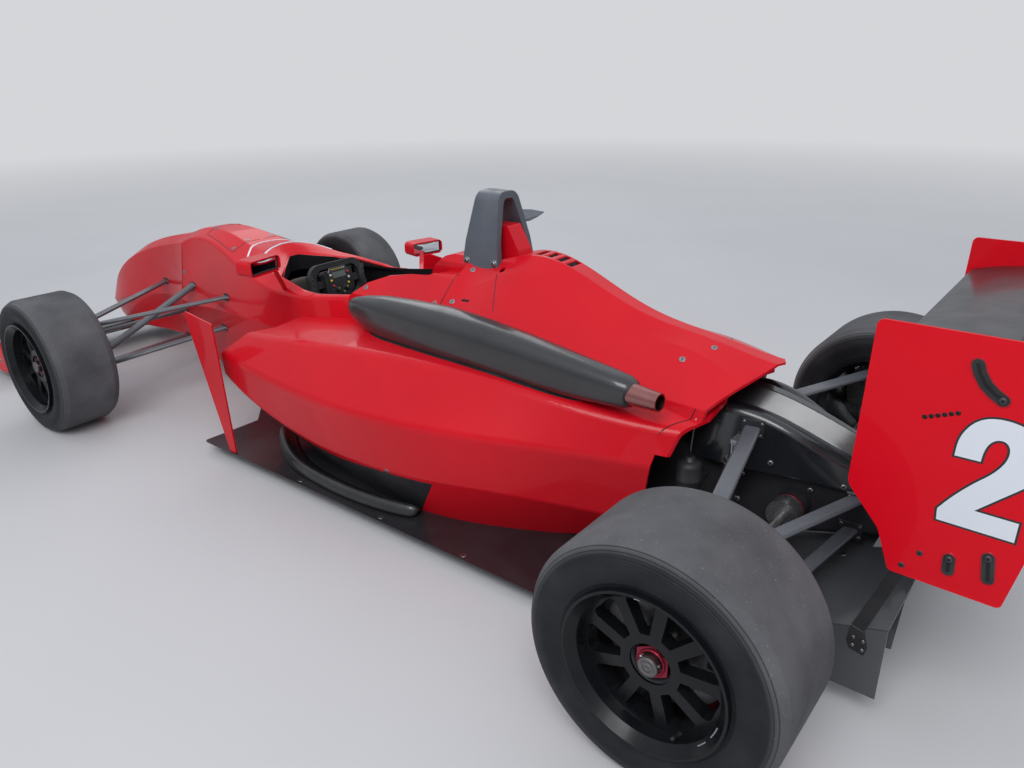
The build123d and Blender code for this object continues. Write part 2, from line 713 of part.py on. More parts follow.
# Suspension arms: body end x, y, z and wheel end offsets
UPPER_BALL = KNUCKLE_TOP + 16
LOWER_BALL = KNUCKLE_FOOT - 16
FRONT_ARMS = [
    # name, wheel end (dx, z), body end (x, y, z), width, depth
    ("upper front leg", (6, UPPER_BALL), (1510, 100, 416), 34, 14),
    ("upper rear leg", (-6, UPPER_BALL), (795, 170, 474), 34, 14),
    ("lower front leg", (6, LOWER_BALL), (1410, 90, 148), 38, 16),
    ("lower rear leg", (-6, LOWER_BALL), (865, 165, 326), 38, 16),
]
PUSHROD = ((1175, 668, 238), (1175, 150, 458), 42, 20)


def ball_ring(x, y, z):
    ring = Pos(x, y, z) * (Cylinder(17, 12) - Cylinder(KINGPIN_R + PIN_CLEARANCE, 12))
    return ring


def front_suspension(form, nose):
    y_pin = FRONT_TRACK / 2 - KINGPIN_OFFSET
    solids = []
    for level in (UPPER_BALL, LOWER_BALL):
        body = ball_ring(FRONT_AXLE_X, y_pin, FRONT_TYRE_R + level)
        for name, (dx, z), inner, width, depth in FRONT_ARMS:
            if z != level:
                continue
            outer = (FRONT_AXLE_X + dx, y_pin - 14, FRONT_TYRE_R + z)
            body += strut(outer, inner, width, depth) - form - nose
        solids.append(largest(body))
    start, end, width, depth = PUSHROD
    push = strut(start, end, width, depth) - form
    push += block(FRONT_AXLE_X - 32, FRONT_AXLE_X + 32, start[1] - 22, start[1],
                  FRONT_TYRE_R + LOWER_BALL - 14, start[2] + 4)
    push -= solids[1]
    solids.append(largest(push))
    return solids


UPPER_REAR = UPRIGHT_TOP - 8
LOWER_REAR = -116.0
REAR_ARMS = [
    ("upper front leg", (20, UPPER_REAR), (-1500, 122, 482), 44, 14),
    ("upper rear leg", (-20, UPPER_REAR), (-1790, 60, 345), 40, 14),
    ("lower front leg", (20, LOWER_REAR), (-1330, 60, 170), 38, 16),
    ("lower rear leg", (-20, LOWER_REAR), (-1780, 40, 250), 38, 16),
]


def rear_suspension(gear, upright, fairings):
    y_pin = REAR_TRACK / 2 - UPRIGHT_INNER
    solids = []
    for level in (UPPER_REAR, LOWER_REAR):
        body = None
        for name, (dx, z), inner, width, depth in REAR_ARMS:
            if z != level:
                continue
            outer = (REAR_AXLE_X + dx, y_pin + 12, REAR_TYRE_R + z)
            leg = strut(outer, inner, width, depth) - gear - upright - fairings
            body = leg if body is None else body + leg
        solids += [solid for solid in body.solids() if solid.volume > 20000]
    return solids


def track_rods():
    y_pin = FRONT_TRACK / 2 - KINGPIN_OFFSET
    bar = rod((RACK_X, -y_pin, RACK_Z), (RACK_X, y_pin, RACK_Z), RACK_R - 1)
    for side in (1, -1):
        bar += Pos(RACK_X, side * y_pin, RACK_Z) * Cylinder(15, 2 * RACK_R)
    return bar


def steering_wheel():
    tilt = Location((WHEEL_HUB_X, 0, WHEEL_HUB_Z), (0, -90 + COLUMN_TILT, 0))
    ring = RectangleRounded(160, 270, 55) - RectangleRounded(116, 214, 38)
    body = extrude(ring, amount=12, both=True)
    body += extrude(RectangleRounded(96, 140, 16), amount=16, both=True)
    body += extrude(Rectangle(28, 240), amount=5, both=True)
    body = tilt * body
    return body + rod(column_point(0), column_point(420), COLUMN_R)


# Damper's foot, neck and top: x, y, z
DAMPER = [(-1464, 178, 262), (-1475, 178, 402), (-1473, 178, 446)]
DAMPER_R = 20.0


def dampers(gear):
    foot, neck, top = DAMPER
    body = rod(foot, neck, DAMPER_R) + rod(neck, top, 10)
    for x, y, z in (foot, top):
        body += block(x - 9, x + 9, 60, y, z - 9, z + 9)
    left = largest(body - gear)
    return Compound([left, mirrored(left).solid()])


# Assembly

def build():
    form = hull(TUB_ROWS) - block(TUB_REAR_X - 50, BULKHEAD_X + 50, -400, 400, 0, DECK_Z)
    nose = hull(NOSE_ROWS)
    pod_left = pod_form(0) - block(-2000, 1000, 0, 1000, 0, DECK_Z)
    pod_right = mirrored(pod_left)
    cover_outer = cover_form(0)
    nodes = {
        "tub": tub(form),
        "nose_cone": nose,
        "windscreen": windscreen(form),
        "headrest": headrest(form, [pod_left, pod_right]),
        "seat": seat(),
        "steering_wheel": steering_wheel(),
        "track_rods": track_rods(),
    }
    hoop = roll_hoop([cover_outer, nodes["headrest"]])
    nodes["roll_hoop"] = hoop
    nodes["hoop_fairing"] = hoop_fairing([cover_outer, nodes["headrest"], hoop])
    nodes["engine_cover"] = engine_cover(cover_outer, [pod_left, pod_right])
    pod, panel = sidepod(pod_left, form)
    nodes["sidepod_left"] = pod
    nodes["sidepod_right"] = mirrored(pod)
    nodes["undercut_panels"] = Compound([panel, mirrored(panel).solid()])
    nodes["airbox_cover"] = airbox([cover_outer, pod_left])
    nodes["exhaust_pipe"] = exhaust([cover_outer, pod_left, nodes["airbox_cover"]])
    nodes["floor"] = floor()
    nodes["diffuser"] = diffuser()
    nodes["turning_vanes"] = turning_vanes()
    nodes["mirrors"] = mirrors(form)
    nodes["front_wing"] = front_wing(nose)
    nodes["front_endplates"] = front_endplates()
    nodes["radiators"] = radiators()
    nodes["engine_block"] = engine_block()
    gear = gearbox()
    nodes["gearbox"] = gear
    nodes["dampers"] = dampers(gear)
    planes = rear_wing()
    nodes["rear_wing"] = Compound(planes)
    nodes["wing_mount"] = wing_mount(gear, planes[-1])
    nodes["gearbox_fairings"] = gearbox_fairings(gear, nodes["dampers"], nodes["wing_mount"])
    nodes["rear_light"] = rear_light()
    end = rear_endplate()
    nodes["rear_endplates"] = Compound([end.solid(), mirrored(end).solid()])
    front_arms = front_suspension(form, nose)
    nodes["front_suspension"] = Compound(front_arms + [mirrored(arm).solid() for arm in front_arms])
    front_at = Pos(FRONT_AXLE_X, FRONT_TRACK / 2, FRONT_TYRE_R)
    rear_at = Pos(REAR_AXLE_X, REAR_TRACK / 2, REAR_TYRE_R)
    rear_arms = rear_suspension(gear, rear_at * rear_upright(REAR_TYRE_WIDTH, REAR_DISH),
                                nodes["gearbox_fairings"])
    nodes["rear_suspension"] = Compound(rear_arms + [mirrored(arm).solid() for arm in rear_arms])
    corners = [
        ("front", front_at, FRONT_TYRE_R, FRONT_TYRE_WIDTH, FRONT_DISH),
        ("rear", rear_at, REAR_TYRE_R, REAR_TYRE_WIDTH, REAR_DISH),
    ]
    for end_name, place, radius, width, dish in corners:
        pieces = {
            "tyre": tyre(radius, width),
            "rim": rim(width, dish),
            "hub": wheel_hub(width, dish, end_name == "rear"),
        }
        if end_name == "front":
            pieces["knuckle"] = knuckle(width, dish)
        else:
            pieces["upright"] = rear_upright(width, dish)
        for piece, shape in pieces.items():
            left = place * shape
            nodes[f"{piece}_{end_name}_left"] = left
            nodes[f"{piece}_{end_name}_right"] = mirrored(left)
    return nodes


os.makedirs("parts", exist_ok=True)
for node_name, node_shape in build().items():
    export_step(node_shape, f"parts/{node_name}.step")
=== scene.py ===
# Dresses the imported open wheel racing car: camera, light, materials and the small pieces that the
# solids leave out. Places are in metres in the car's own frame: X forward, Y left, Z up. The sizes,
# profiles and outlines of small forms are in millimetres.
from math import cos, pi, radians, sin

import bmesh
import bpy
from mathutils import Matrix, Vector
from mathutils.bvhtree import BVHTree


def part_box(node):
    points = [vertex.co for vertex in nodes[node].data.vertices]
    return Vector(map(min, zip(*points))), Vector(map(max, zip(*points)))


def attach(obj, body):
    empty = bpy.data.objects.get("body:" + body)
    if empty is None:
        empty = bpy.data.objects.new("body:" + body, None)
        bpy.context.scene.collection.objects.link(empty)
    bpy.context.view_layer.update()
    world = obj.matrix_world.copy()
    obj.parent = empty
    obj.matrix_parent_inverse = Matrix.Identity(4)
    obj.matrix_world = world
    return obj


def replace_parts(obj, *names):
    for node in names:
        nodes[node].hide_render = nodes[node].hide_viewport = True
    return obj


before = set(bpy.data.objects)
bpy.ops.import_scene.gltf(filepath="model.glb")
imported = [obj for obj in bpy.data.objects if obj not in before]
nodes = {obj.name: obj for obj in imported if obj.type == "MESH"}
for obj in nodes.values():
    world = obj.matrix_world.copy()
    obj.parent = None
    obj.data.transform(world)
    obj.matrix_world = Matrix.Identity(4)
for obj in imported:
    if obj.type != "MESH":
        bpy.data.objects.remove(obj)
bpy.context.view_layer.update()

MM = 0.001
SIDES = (1, -1)
SIDE_NAME = {1: "left", -1: "right"}
FORWARD = (1, 0, 0)
LEFT = (0, 1, 0)
UP = (0, 0, 1)
DOWN = (0, 0, -1)
# Farther out than the car on each side and above it, where rays start
OUTSIDE = 1.3
# Each axle's x and z, and how far out its wheels' middles are
FRONT_AXLE = (1.175, 0.275)
REAR_AXLE = (-1.625, 0.285)
FRONT_Y = 0.7975
REAR_Y = 0.77

# Camera: place, yaw, pitch and roll in degrees, lens
CAMERA_PLACE = (-2.191, 1.995, 1.392)
CAMERA_TURNS = (-51.04, 22.35, -0.92)
CAMERA_LENS = 27.68
# The backdrop's colour, and the sky's places and colours from below to above
BACKDROP = (0.66, 0.67, 0.69)
SKY = ((0, (0.34, 0.35, 0.36)), (0.55, (0.84, 0.88, 0.95)))
SKY_STRENGTH = 0.85


# Nodes


class Graph:
    """A node tree with a few shortcuts."""

    def __init__(self, tree):
        self.tree = tree

    def node(self, kind, **values):
        """New node, each value given to its setting or its input of that name."""
        made = self.tree.nodes.new(kind)
        for key, value in values.items():
            if hasattr(made, key):
                setattr(made, key, value)
            else:
                made.inputs[key.replace("_", " ")].default_value = value
        return made

    def link(self, a, b):
        self.tree.links.new(a, b)

    def blend(self, factor, first, second):
        made = self.node("ShaderNodeMixShader")
        for output, socket in zip((factor, first, second), made.inputs):
            self.link(output, socket)
        return made.outputs[0]


# Every material by its name in this script
looks = {}


class Shader(Graph):
    """A Principled material."""

    def __init__(self, name, color, rough=0.5, metal=0, coat=0, coat_rough=0.05, spec=0.5):
        self.mat = looks[name] = bpy.data.materials.new(name)
        self.mat.use_nodes = True
        self.mat.diffuse_color = (*color, 1)
        super().__init__(self.mat.node_tree)
        self.bsdf = self.tree.nodes["Principled BSDF"]
        for socket, value in (("Base Color", (*color, 1)), ("Roughness", rough), ("Metallic", metal),
                              ("Coat Weight", coat), ("Coat Roughness", coat_rough),
                              ("Specular IOR Level", spec)):
            self.bsdf.inputs[socket].default_value = value

    def coords(self, offset=(0, 0, 0)):
        coord = self.node("ShaderNodeTexCoord")
        mapping = self.node("ShaderNodeMapping", Location=offset)
        self.link(coord.outputs["Object"], mapping.inputs["Vector"])
        return mapping.outputs["Vector"]

    def axes(self, offset=(0, 0, 0)):
        split = self.node("ShaderNodeSeparateXYZ")
        self.link(self.coords(offset), split.inputs[0])
        return split.outputs

    def noise(self, scale, detail):
        made = self.node("ShaderNodeTexNoise", Scale=scale, Detail=detail)
        self.link(self.coords(), made.inputs["Vector"])
        return made.outputs["Fac"]

    def span(self, value, low, high, to_low=0, to_high=1):
        """Value carried from one range to another and held at its ends."""
        made = self.node("ShaderNodeMapRange", From_Min=low, From_Max=high, To_Min=to_low, To_Max=to_high)
        self.link(value, made.inputs["Value"])
        return made.outputs["Result"]

    def patches(self, scale, detail, low, high, to_low=0, to_high=1):
        return self.span(self.noise(scale, detail), low, high, to_low, to_high)

    def mix(self, factor, a, b):
        made = self.node("ShaderNodeMix", data_type="RGBA")
        self.link(factor, made.inputs[0])
        for socket, value in ((made.inputs[6], a), (made.inputs[7], b)):
            if isinstance(value, tuple):
                socket.default_value = (*value, 1)
            else:
                self.link(value, socket)
        return made.outputs[2]

    def math(self, operation, *values):
        made = self.node("ShaderNodeMath", operation=operation)
        for value, socket in zip(values, made.inputs):
            if isinstance(value, (int, float)):
                socket.default_value = value
            else:
                self.link(value, socket)
        return made.outputs[0]

    def times(self, first, *others):
        for other in others:
            first = self.math("MULTIPLY", first, other)
        return first

    def minus(self, first, *others):
        for other in others:
            first = self.math("SUBTRACT", first, other)
        return first

    def over(self, value, limit):
        return self.math("GREATER_THAN", value, limit)

    def under(self, value, limit):
        return self.math("LESS_THAN", value, limit)

    def distance(self, a, b):
        return self.math("SQRT", self.math("ADD", self.times(a, a), self.times(b, b)))

    def band(self, value, rise, top, fall, end, high=1):
        """Level that climbs from rise to top and goes down again from fall to end."""
        return self.times(self.span(value, rise, top, 0, high), self.span(value, fall, end, 1, 0))

    def color(self, output):
        self.link(output, self.bsdf.inputs["Base Color"])

    def roughness(self, output):
        self.link(output, self.bsdf.inputs["Roughness"])

    def bump(self, height, strength, distance):
        made = self.node("ShaderNodeBump", Strength=strength, Distance=distance)
        self.link(height, made.inputs["Height"])
        self.link(made.outputs["Normal"], self.bsdf.inputs["Normal"])


# Camera and light


def add_camera():
    """Camera at the photograph's place, found from the four wheels."""
    yaw, pitch, roll = (radians(turn) for turn in CAMERA_TURNS)
    ahead = Vector((cos(yaw) * cos(pitch), sin(yaw) * cos(pitch), -sin(pitch)))
    right = Vector((sin(yaw), -cos(yaw), 0))
    up = right.cross(ahead)
    right, up = cos(roll) * right + sin(roll) * up, cos(roll) * up - sin(roll) * right
    data = bpy.data.cameras.new("camera")
    data.lens = CAMERA_LENS
    data.clip_start = 0.05
    camera = bpy.data.objects.new("camera", data)
    axes = Matrix((right, up, -ahead)).transposed().to_4x4()
    camera.matrix_world = Matrix.Translation(CAMERA_PLACE) @ axes
    bpy.context.scene.collection.objects.link(camera)
    bpy.context.scene.camera = camera


def add_light(name, place, target, size, watts):
    data = bpy.data.lights.new(name, "AREA")
    data.shape = "RECTANGLE"
    data.size, data.size_y = size
    data.energy = watts
    light = bpy.data.objects.new(name, data)
    light.location = place
    light.rotation_euler = (Vector(target) - Vector(place)).to_track_quat("-Z", "Y").to_euler()
    bpy.context.scene.collection.objects.link(light)


def add_world():
    """Light from a sky that is grey below and pale above, and a plain backdrop for the camera."""
    world = bpy.data.worlds.new("studio")
    world.use_nodes = True
    graph = Graph(world.node_tree)
    coord = graph.node("ShaderNodeTexCoord")
    split = graph.node("ShaderNodeSeparateXYZ")
    ramp = graph.node("ShaderNodeValToRGB")
    graph.link(coord.outputs["Generated"], split.inputs[0])
    graph.link(split.outputs["Z"], ramp.inputs["Fac"])
    for stop, (place, color) in zip(ramp.color_ramp.elements, SKY):
        stop.position = place
        stop.color = (*color, 1)
    sky = graph.tree.nodes["Background"]
    graph.link(ramp.outputs["Color"], sky.inputs["Color"])
    sky.inputs["Strength"].default_value = SKY_STRENGTH
    plain = graph.node("ShaderNodeBackground", Color=(*BACKDROP, 1))
    path = graph.node("ShaderNodeLightPath")
    seen = graph.blend(path.outputs["Is Camera Ray"], sky.outputs[0], plain.outputs[0])
    graph.link(seen, graph.tree.nodes["World Output"].inputs["Surface"])
    bpy.context.scene.world = world


add_camera()
add_world()
add_light("key", (-2.5, 4, 5), (-0.3, 0, 0.3), (4, 2.5), 190)
add_light("fill", (3.5, -3.5, 4.5), (0.3, 0, 0.3), (4, 4), 60)
bpy.context.scene.view_settings.view_transform = "Standard"


# Materials


def car_paint(name, color, deep, coat=0.32):
    """Glossy paint with faint orange peel: its shader and its mottled colour."""
    made = Shader(name, color, rough=0.35, coat=coat, coat_rough=0.03, spec=0.12)
    made.bump(made.noise(320, 2), 0.03, 0.001)
    return made, made.mix(made.patches(2.3, 3, 0.35, 0.65), color, deep)


def paint(name, color, deep, coat=0.32):
    made, shade = car_paint(name, color, deep, coat)
    made.color(shade)
    made.roughness(made.patches(9, 5, 0.3, 0.7, 0.28, 0.42))


# Cockpit's half widths as x and half width: its well where it is widest, and the opening above it
WELL_WIDTHS = [(-0.44, 0.274), (0.45, 0.249), (1, 0.16)]
OPENING_WIDTHS = [(-0.44, 0.2238), (0.15, 0.2338), (0.43, 0.1878), (0.6, 0.0238)]
# Rear and front of the well and of the walls under the opening's rim, and heights of both
WELL_ENDS = (-0.445, 1.002)
WALL_ENDS = (-0.3, 0.6015)
WELL_LOW, WELL_WIDEST, WELL_HIGH = 0.06, 0.42, 0.5845
WALL_LOW = 0.3


def tub_paint(name, color, deep, lining):
    """Car paint outside and a dark lining inside the cockpit, told apart by place."""
    made, shade = car_paint(name, color, deep)
    x, y, z = made.axes()
    out = made.math("ABSOLUTE", y)

    def half_width(stations, *less):
        (rear, first), (front, second), *_ = stations
        steps = [made.span(x, rear, front, first, second)]
        for (rear, wide), (front, narrow) in zip(stations[1:], stations[2:]):
            steps.append(made.span(x, rear, front, 0, wide - narrow))
        return made.minus(*steps, *less)

    def within(half, ends, *others):
        return made.times(made.under(out, half), made.over(x, ends[0]), made.under(x, ends[1]), *others)

    away = made.math("ABSOLUTE", made.minus(z, WELL_WIDEST))
    lean = made.times(away, made.span(x, WELL_WIDTHS[1][0], WELL_WIDTHS[2][0], 0.12, 0.25))
    heights = (made.over(z, WELL_LOW), made.under(z, WELL_HIGH))
    well = within(half_width(WELL_WIDTHS, lean), WELL_ENDS, *heights)
    wall = within(half_width(OPENING_WIDTHS), WALL_ENDS, made.over(z, WALL_LOW))
    inside = made.math("MAXIMUM", well, wall)
    made.color(made.mix(inside, shade, lining))
    made.roughness(made.span(inside, 0, 1, 0.34, 0.62))
    made.link(made.span(inside, 0, 1, 0.32, 0), made.bsdf.inputs["Coat Weight"])


def carbon(name, color, pale, rough, coat):
    """Woven carbon under lacquer: small twill squares, barely seen."""
    made = Shader(name, color, rough=rough, coat=coat, coat_rough=0.12)
    weave = made.node("ShaderNodeTexChecker", Scale=260)
    made.link(made.coords(), weave.inputs["Vector"])
    fine = made.mix(made.times(weave.outputs["Fac"], 0.35), color, pale)
    made.color(made.mix(made.patches(5, 6, 0.45, 0.75, 0, 0.5), fine, pale))
    made.roughness(made.patches(14, 5, 0.3, 0.7, rough - 0.08, rough + 0.12))
    made.bump(weave.outputs["Fac"], 0.05, 0.0004)


def coated(name, color, worn, rough, metal=0, coat=0, grain=90, strength=0.06, spec=0.5):
    """Painted or machined surface with a fine grain and paler wear."""
    made = Shader(name, color, rough=rough, metal=metal, coat=coat, coat_rough=0.15, spec=spec)
    made.color(made.mix(made.patches(7, 6, 0.5, 0.8, 0, 0.7), color, worn))
    made.roughness(made.patches(22, 5, 0.3, 0.7, max(rough - 0.1, 0.05), rough + 0.12))
    made.bump(made.noise(grain * 10, 3), strength, 0.0006)


def hub_metal(name, axle, nut_face):
    """Steel disc and shaft, a red wheel nut beyond the given y and a grey cap in its middle."""
    made = Shader(name, (0.32, 0.32, 0.33), rough=0.34, metal=0.9)
    x, y, z = made.axes((-axle[0], 0, -axle[1]))
    radius = made.distance(x, z)
    outer = made.over(made.math("ABSOLUTE", y), nut_face)
    cap = made.times(outer, made.under(radius, 0.0226))
    grain = made.patches(26, 5, 0.35, 0.7)
    base = made.mix(grain, (0.3, 0.3, 0.31), (0.18, 0.175, 0.17))
    anodised = made.mix(grain, (0.3, 0.03, 0.058), (0.22, 0.022, 0.04))
    made.color(made.mix(cap, made.mix(outer, base, anodised), (0.12, 0.11, 0.11)))
    made.roughness(made.patches(40, 4, 0.3, 0.7, 0.22, 0.4))
    made.bump(made.math("SINE", made.times(radius, 6000)), 0.04, 0.0004)


def rubber(name, axle, outer_r):
    """Slick tyre: dusty grey tread with pick-up and scuffs, darker sidewall with fine rings."""
    made = Shader(name, (0.03, 0.03, 0.034), rough=0.85, spec=0.3)
    x, _, z = made.axes((-axle[0], 0, -axle[1]))
    radius = made.distance(x, z)
    tread = made.span(radius, outer_r - 0.03, outer_r - 0.012)
    grey = made.mix(made.patches(6, 6, 0.35, 0.7), (0.07, 0.071, 0.077), (0.125, 0.127, 0.134))
    grey = made.mix(made.patches(230, 2, 0.69, 0.74, 0, 0.5), grey, (0.34, 0.33, 0.31))
    side = made.mix(made.patches(11, 5, 0.4, 0.75), (0.008, 0.009, 0.012), (0.02, 0.021, 0.025))
    shade = made.mix(tread, side, grey)
    # Two near-black rings of painted shade where the shoulder's grooves are
    for groove in (outer_r - 0.0135, outer_r - 0.0215):
        line = made.band(radius, groove - 0.0016, groove, groove, groove + 0.0016, 0.8)
        shade = made.mix(line, shade, (0.004, 0.004, 0.005))
    made.color(shade)
    made.roughness(made.span(tread, 0, 1, 0.62, 0.92))
    shoulder = made.band(radius, outer_r - 0.046, outer_r - 0.04, outer_r - 0.026, outer_r - 0.02)
    rings = made.times(made.math("SINE", made.times(radius, 1050)), shoulder)
    bead = made.times(made.band(radius, 0.19, 0.193, 0.196, 0.199), 1.5)
    grit = made.times(made.noise(420, 3), made.span(tread, 0, 1, 0.3, 1))
    made.bump(made.math("ADD", grit, made.math("ADD", rings, bead)), 0.35, 0.0015)


RED = (0.64, 0.004, 0.014)
DEEP_RED = (0.56, 0.003, 0.012)
paint("red_paint", RED, DEEP_RED)
paint("plate_red", (0.7, 0.003, 0.014), (0.66, 0.003, 0.012), coat=0.12)
paint("plate_edge", (0.5, 0.003, 0.014), (0.44, 0.003, 0.012))
tub_paint("tub_red", RED, DEEP_RED, (0.01, 0.01, 0.012))
carbon("floor_carbon", (0.01, 0.0105, 0.013), (0.032, 0.032, 0.037), 0.4, 0.3)
carbon("diffuser_carbon", (0.05, 0.052, 0.058), (0.085, 0.087, 0.095), 0.42, 0.8)
carbon("cover_carbon", (0.013, 0.013, 0.015), (0.03, 0.03, 0.033), 0.34, 0.6)
carbon("wing_carbon", (0.012, 0.0125, 0.015), (0.036, 0.036, 0.04), 0.36, 0.4)
carbon("panel_carbon", (0.018, 0.018, 0.021), (0.05, 0.05, 0.055), 0.3, 0.6)
coated("seal_black", (0.012, 0.012, 0.014), (0.05, 0.05, 0.052), 0.5)
coated("hoop_grey", (0.075, 0.088, 0.11), (0.12, 0.13, 0.15), 0.42, coat=0.2)
coated("arm_grey", (0.085, 0.09, 0.104), (0.13, 0.135, 0.148), 0.38, coat=0.3)
coated("alloy", (0.4, 0.41, 0.43), (0.55, 0.55, 0.56), 0.35, metal=1)
coated("cast_alloy", (0.014, 0.014, 0.017), (0.045, 0.045, 0.048), 0.5)
coated("steel", (0.32, 0.32, 0.33), (0.2, 0.19, 0.18), 0.34, metal=1)
coated("rim_black", (0.006, 0.0065, 0.008), (0.014, 0.015, 0.017), 0.3, coat=0.15, spec=0.2)
coated("nut_red", (0.3, 0.02, 0.045), (0.45, 0.14, 0.16), 0.28, metal=0.9)
coated("seat_black", (0.018, 0.018, 0.02), (0.05, 0.05, 0.05), 0.75, grain=60, strength=0.2)
# The exhaust steel's red tint is a painted reflection of the red bodywork
coated("burnt_steel", (0.34, 0.15, 0.14), (0.22, 0.11, 0.1), 0.26, metal=1)
coated("moulding_black", (0.012, 0.0125, 0.014), (0.03, 0.03, 0.033), 0.34, coat=0.4)
coated("collar_grey", (0.055, 0.06, 0.068), (0.11, 0.115, 0.12), 0.38, metal=0.5)
coated("cap_grey", (0.16, 0.15, 0.15), (0.26, 0.25, 0.25), 0.42, metal=0.8)
coated("numeral_white", (0.72, 0.76, 0.82), (0.66, 0.7, 0.76), 0.38, coat=0.4, strength=0.02)
coated("numeral_black", (0.01, 0.01, 0.012), (0.03, 0.03, 0.03), 0.4, coat=0.3)
# This black is painted shade where it stands for the inside of holes, sockets, slots and throats; it also
# draws the cover's dark joint line
coated("joint_black_and_hole_shade", (0.003, 0.003, 0.004), (0.008, 0.008, 0.008), 0.8)
coated("grip_black", (0.02, 0.02, 0.022), (0.05, 0.05, 0.05), 0.8, grain=45, strength=0.35)
coated("screen_grey", (0.1, 0.12, 0.11), (0.13, 0.15, 0.14), 0.15, coat=0.8, strength=0.01)
coated("pad_brown", (0.062, 0.05, 0.04), (0.1, 0.085, 0.07), 0.8, grain=50, strength=0.3)
coated("belt_black", (0.016, 0.017, 0.02), (0.045, 0.046, 0.05), 0.75, grain=70, strength=0.4)
coated("button_white", (0.6, 0.6, 0.58), (0.45, 0.45, 0.44), 0.45)
coated("button_red", (0.5, 0.02, 0.02), (0.36, 0.02, 0.02), 0.42)
coated("button_yellow", (0.62, 0.44, 0.03), (0.5, 0.36, 0.03), 0.42)
hub_metal("front_hub_metal", FRONT_AXLE, 0.8485)
hub_metal("rear_hub_metal", REAR_AXLE, 0.848)
rubber("front_rubber", FRONT_AXLE, 0.275)
rubber("rear_rubber", REAR_AXLE, 0.285)

shell = Shader("shell_black", (0.008, 0.009, 0.012), rough=0.3, coat=0.8, coat_rough=0.1)
shell.bump(shell.noise(12, 3), 0.05, 0.004)
shell.roughness(shell.patches(10, 5, 0.3, 0.7, 0.24, 0.38))
lamp = Shader("lamp_red", (0.35, 0, 0.005), rough=0.12, coat=1)
lamp.bump(lamp.noise(400, 1), 0.2, 0.001)
glass = Shader("mirror_glass", (0.72, 0.74, 0.78), rough=0.03, metal=1)
glass.roughness(glass.patches(30, 3, 0.3, 0.8, 0.015, 0.06))

# Starts of the CAD nodes' names that each material goes to, where the longest match counts
MATERIAL_OF = {
    "front_rubber": "tyre_front",
    "rear_rubber": "tyre_rear",
    "rim_black": "rim_",
    "front_hub_metal": "hub_front",
    "rear_hub_metal": "hub_rear",
    "tub_red": "tub",
    "red_paint": "nose_cone windscreen headrest hoop_fairing engine_cover sidepod_ turning_vanes mirrors",
    "plate_red": "front_endplates rear_endplates",
    "floor_carbon": "undercut_panels floor",
    "diffuser_carbon": "diffuser",
    "cover_carbon": "airbox_cover",
    "wing_carbon": "front_wing rear_wing",
    "hoop_grey": "roll_hoop",
    "shell_black": "gearbox_fairings",
    "seal_black": "wing_mount steering_wheel",
    "lamp_red": "rear_light",
    "burnt_steel": "exhaust_pipe",
    "alloy": "knuckle_ upright_ radiators dampers",
    "cast_alloy": "engine_block gearbox",
    "arm_grey": "front_suspension rear_suspension track_rods",
    "seat_black": "seat",
}
material_for = {start: name for name, starts in MATERIAL_OF.items() for start in starts.split()}

for name, obj in nodes.items():
    match = max((start for start in material_for if name.startswith(start)), key=len)
    obj.data.materials.clear()
    obj.data.materials.append(looks[material_for[match]])


# Stage


def add_floor():
    """Pale floor that fades into the backdrop far from the car."""
    mesh = bpy.data.meshes.new("floor")
    mesh.from_pydata([(-60, -60, 0), (60, -60, 0), (60, 60, 0), (-60, 60, 0)], [], [(0, 1, 2, 3)])
    stage_floor = bpy.data.objects.new("stage_floor", mesh)
    bpy.context.scene.collection.objects.link(stage_floor)
    made = Shader("floor_pale", (0.54, 0.54, 0.55), rough=0.9, spec=0.1)
    made.color(made.mix(made.noise(1.2, 4), (0.52, 0.52, 0.53), (0.57, 0.57, 0.58)))
    x, y, _ = made.axes()
    path = made.node("ShaderNodeLightPath")
    seen = made.math("MAXIMUM", path.outputs["Is Camera Ray"], path.outputs["Is Glossy Ray"])
    seen = made.math("MAXIMUM", seen, path.outputs["Is Transmission Ray"])
    far = made.span(made.distance(x, y), 4, 13)
    plain = made.node("ShaderNodeEmission", Color=(*BACKDROP, 1), Strength=1)
    faded = made.blend(made.times(seen, far), made.bsdf.outputs[0], plain.outputs[0])
    made.link(faded, made.tree.nodes["Material Output"].inputs["Surface"])
    mesh.materials.append(made.mat)


add_floor()


# Small forms

# Farthest that neighbouring places of one seam can be apart in metres, and how many millimetres a
# seam is sunk into its surface
LONGEST_STEP = 0.06
SEAM_SINK = 0.6


def placed(at, points):
    """Points in millimetres of a place's own frame, as points of the car."""
    return [at @ (MM * Vector(point)) for point in points]


def level(at, outline, height):
    return placed(at, [(x, y, height) for x, y in outline])


def shift(at, x, y, z):
    """The place moved by millimetres along its own axes."""
    return at @ Matrix.Translation(MM * Vector((x, y, z)))


def way_at(points, i):
    """Direction of a run of points at one of them."""
    return (points[min(i + 1, len(points) - 1)] - points[max(i - 1, 0)]).normalized()


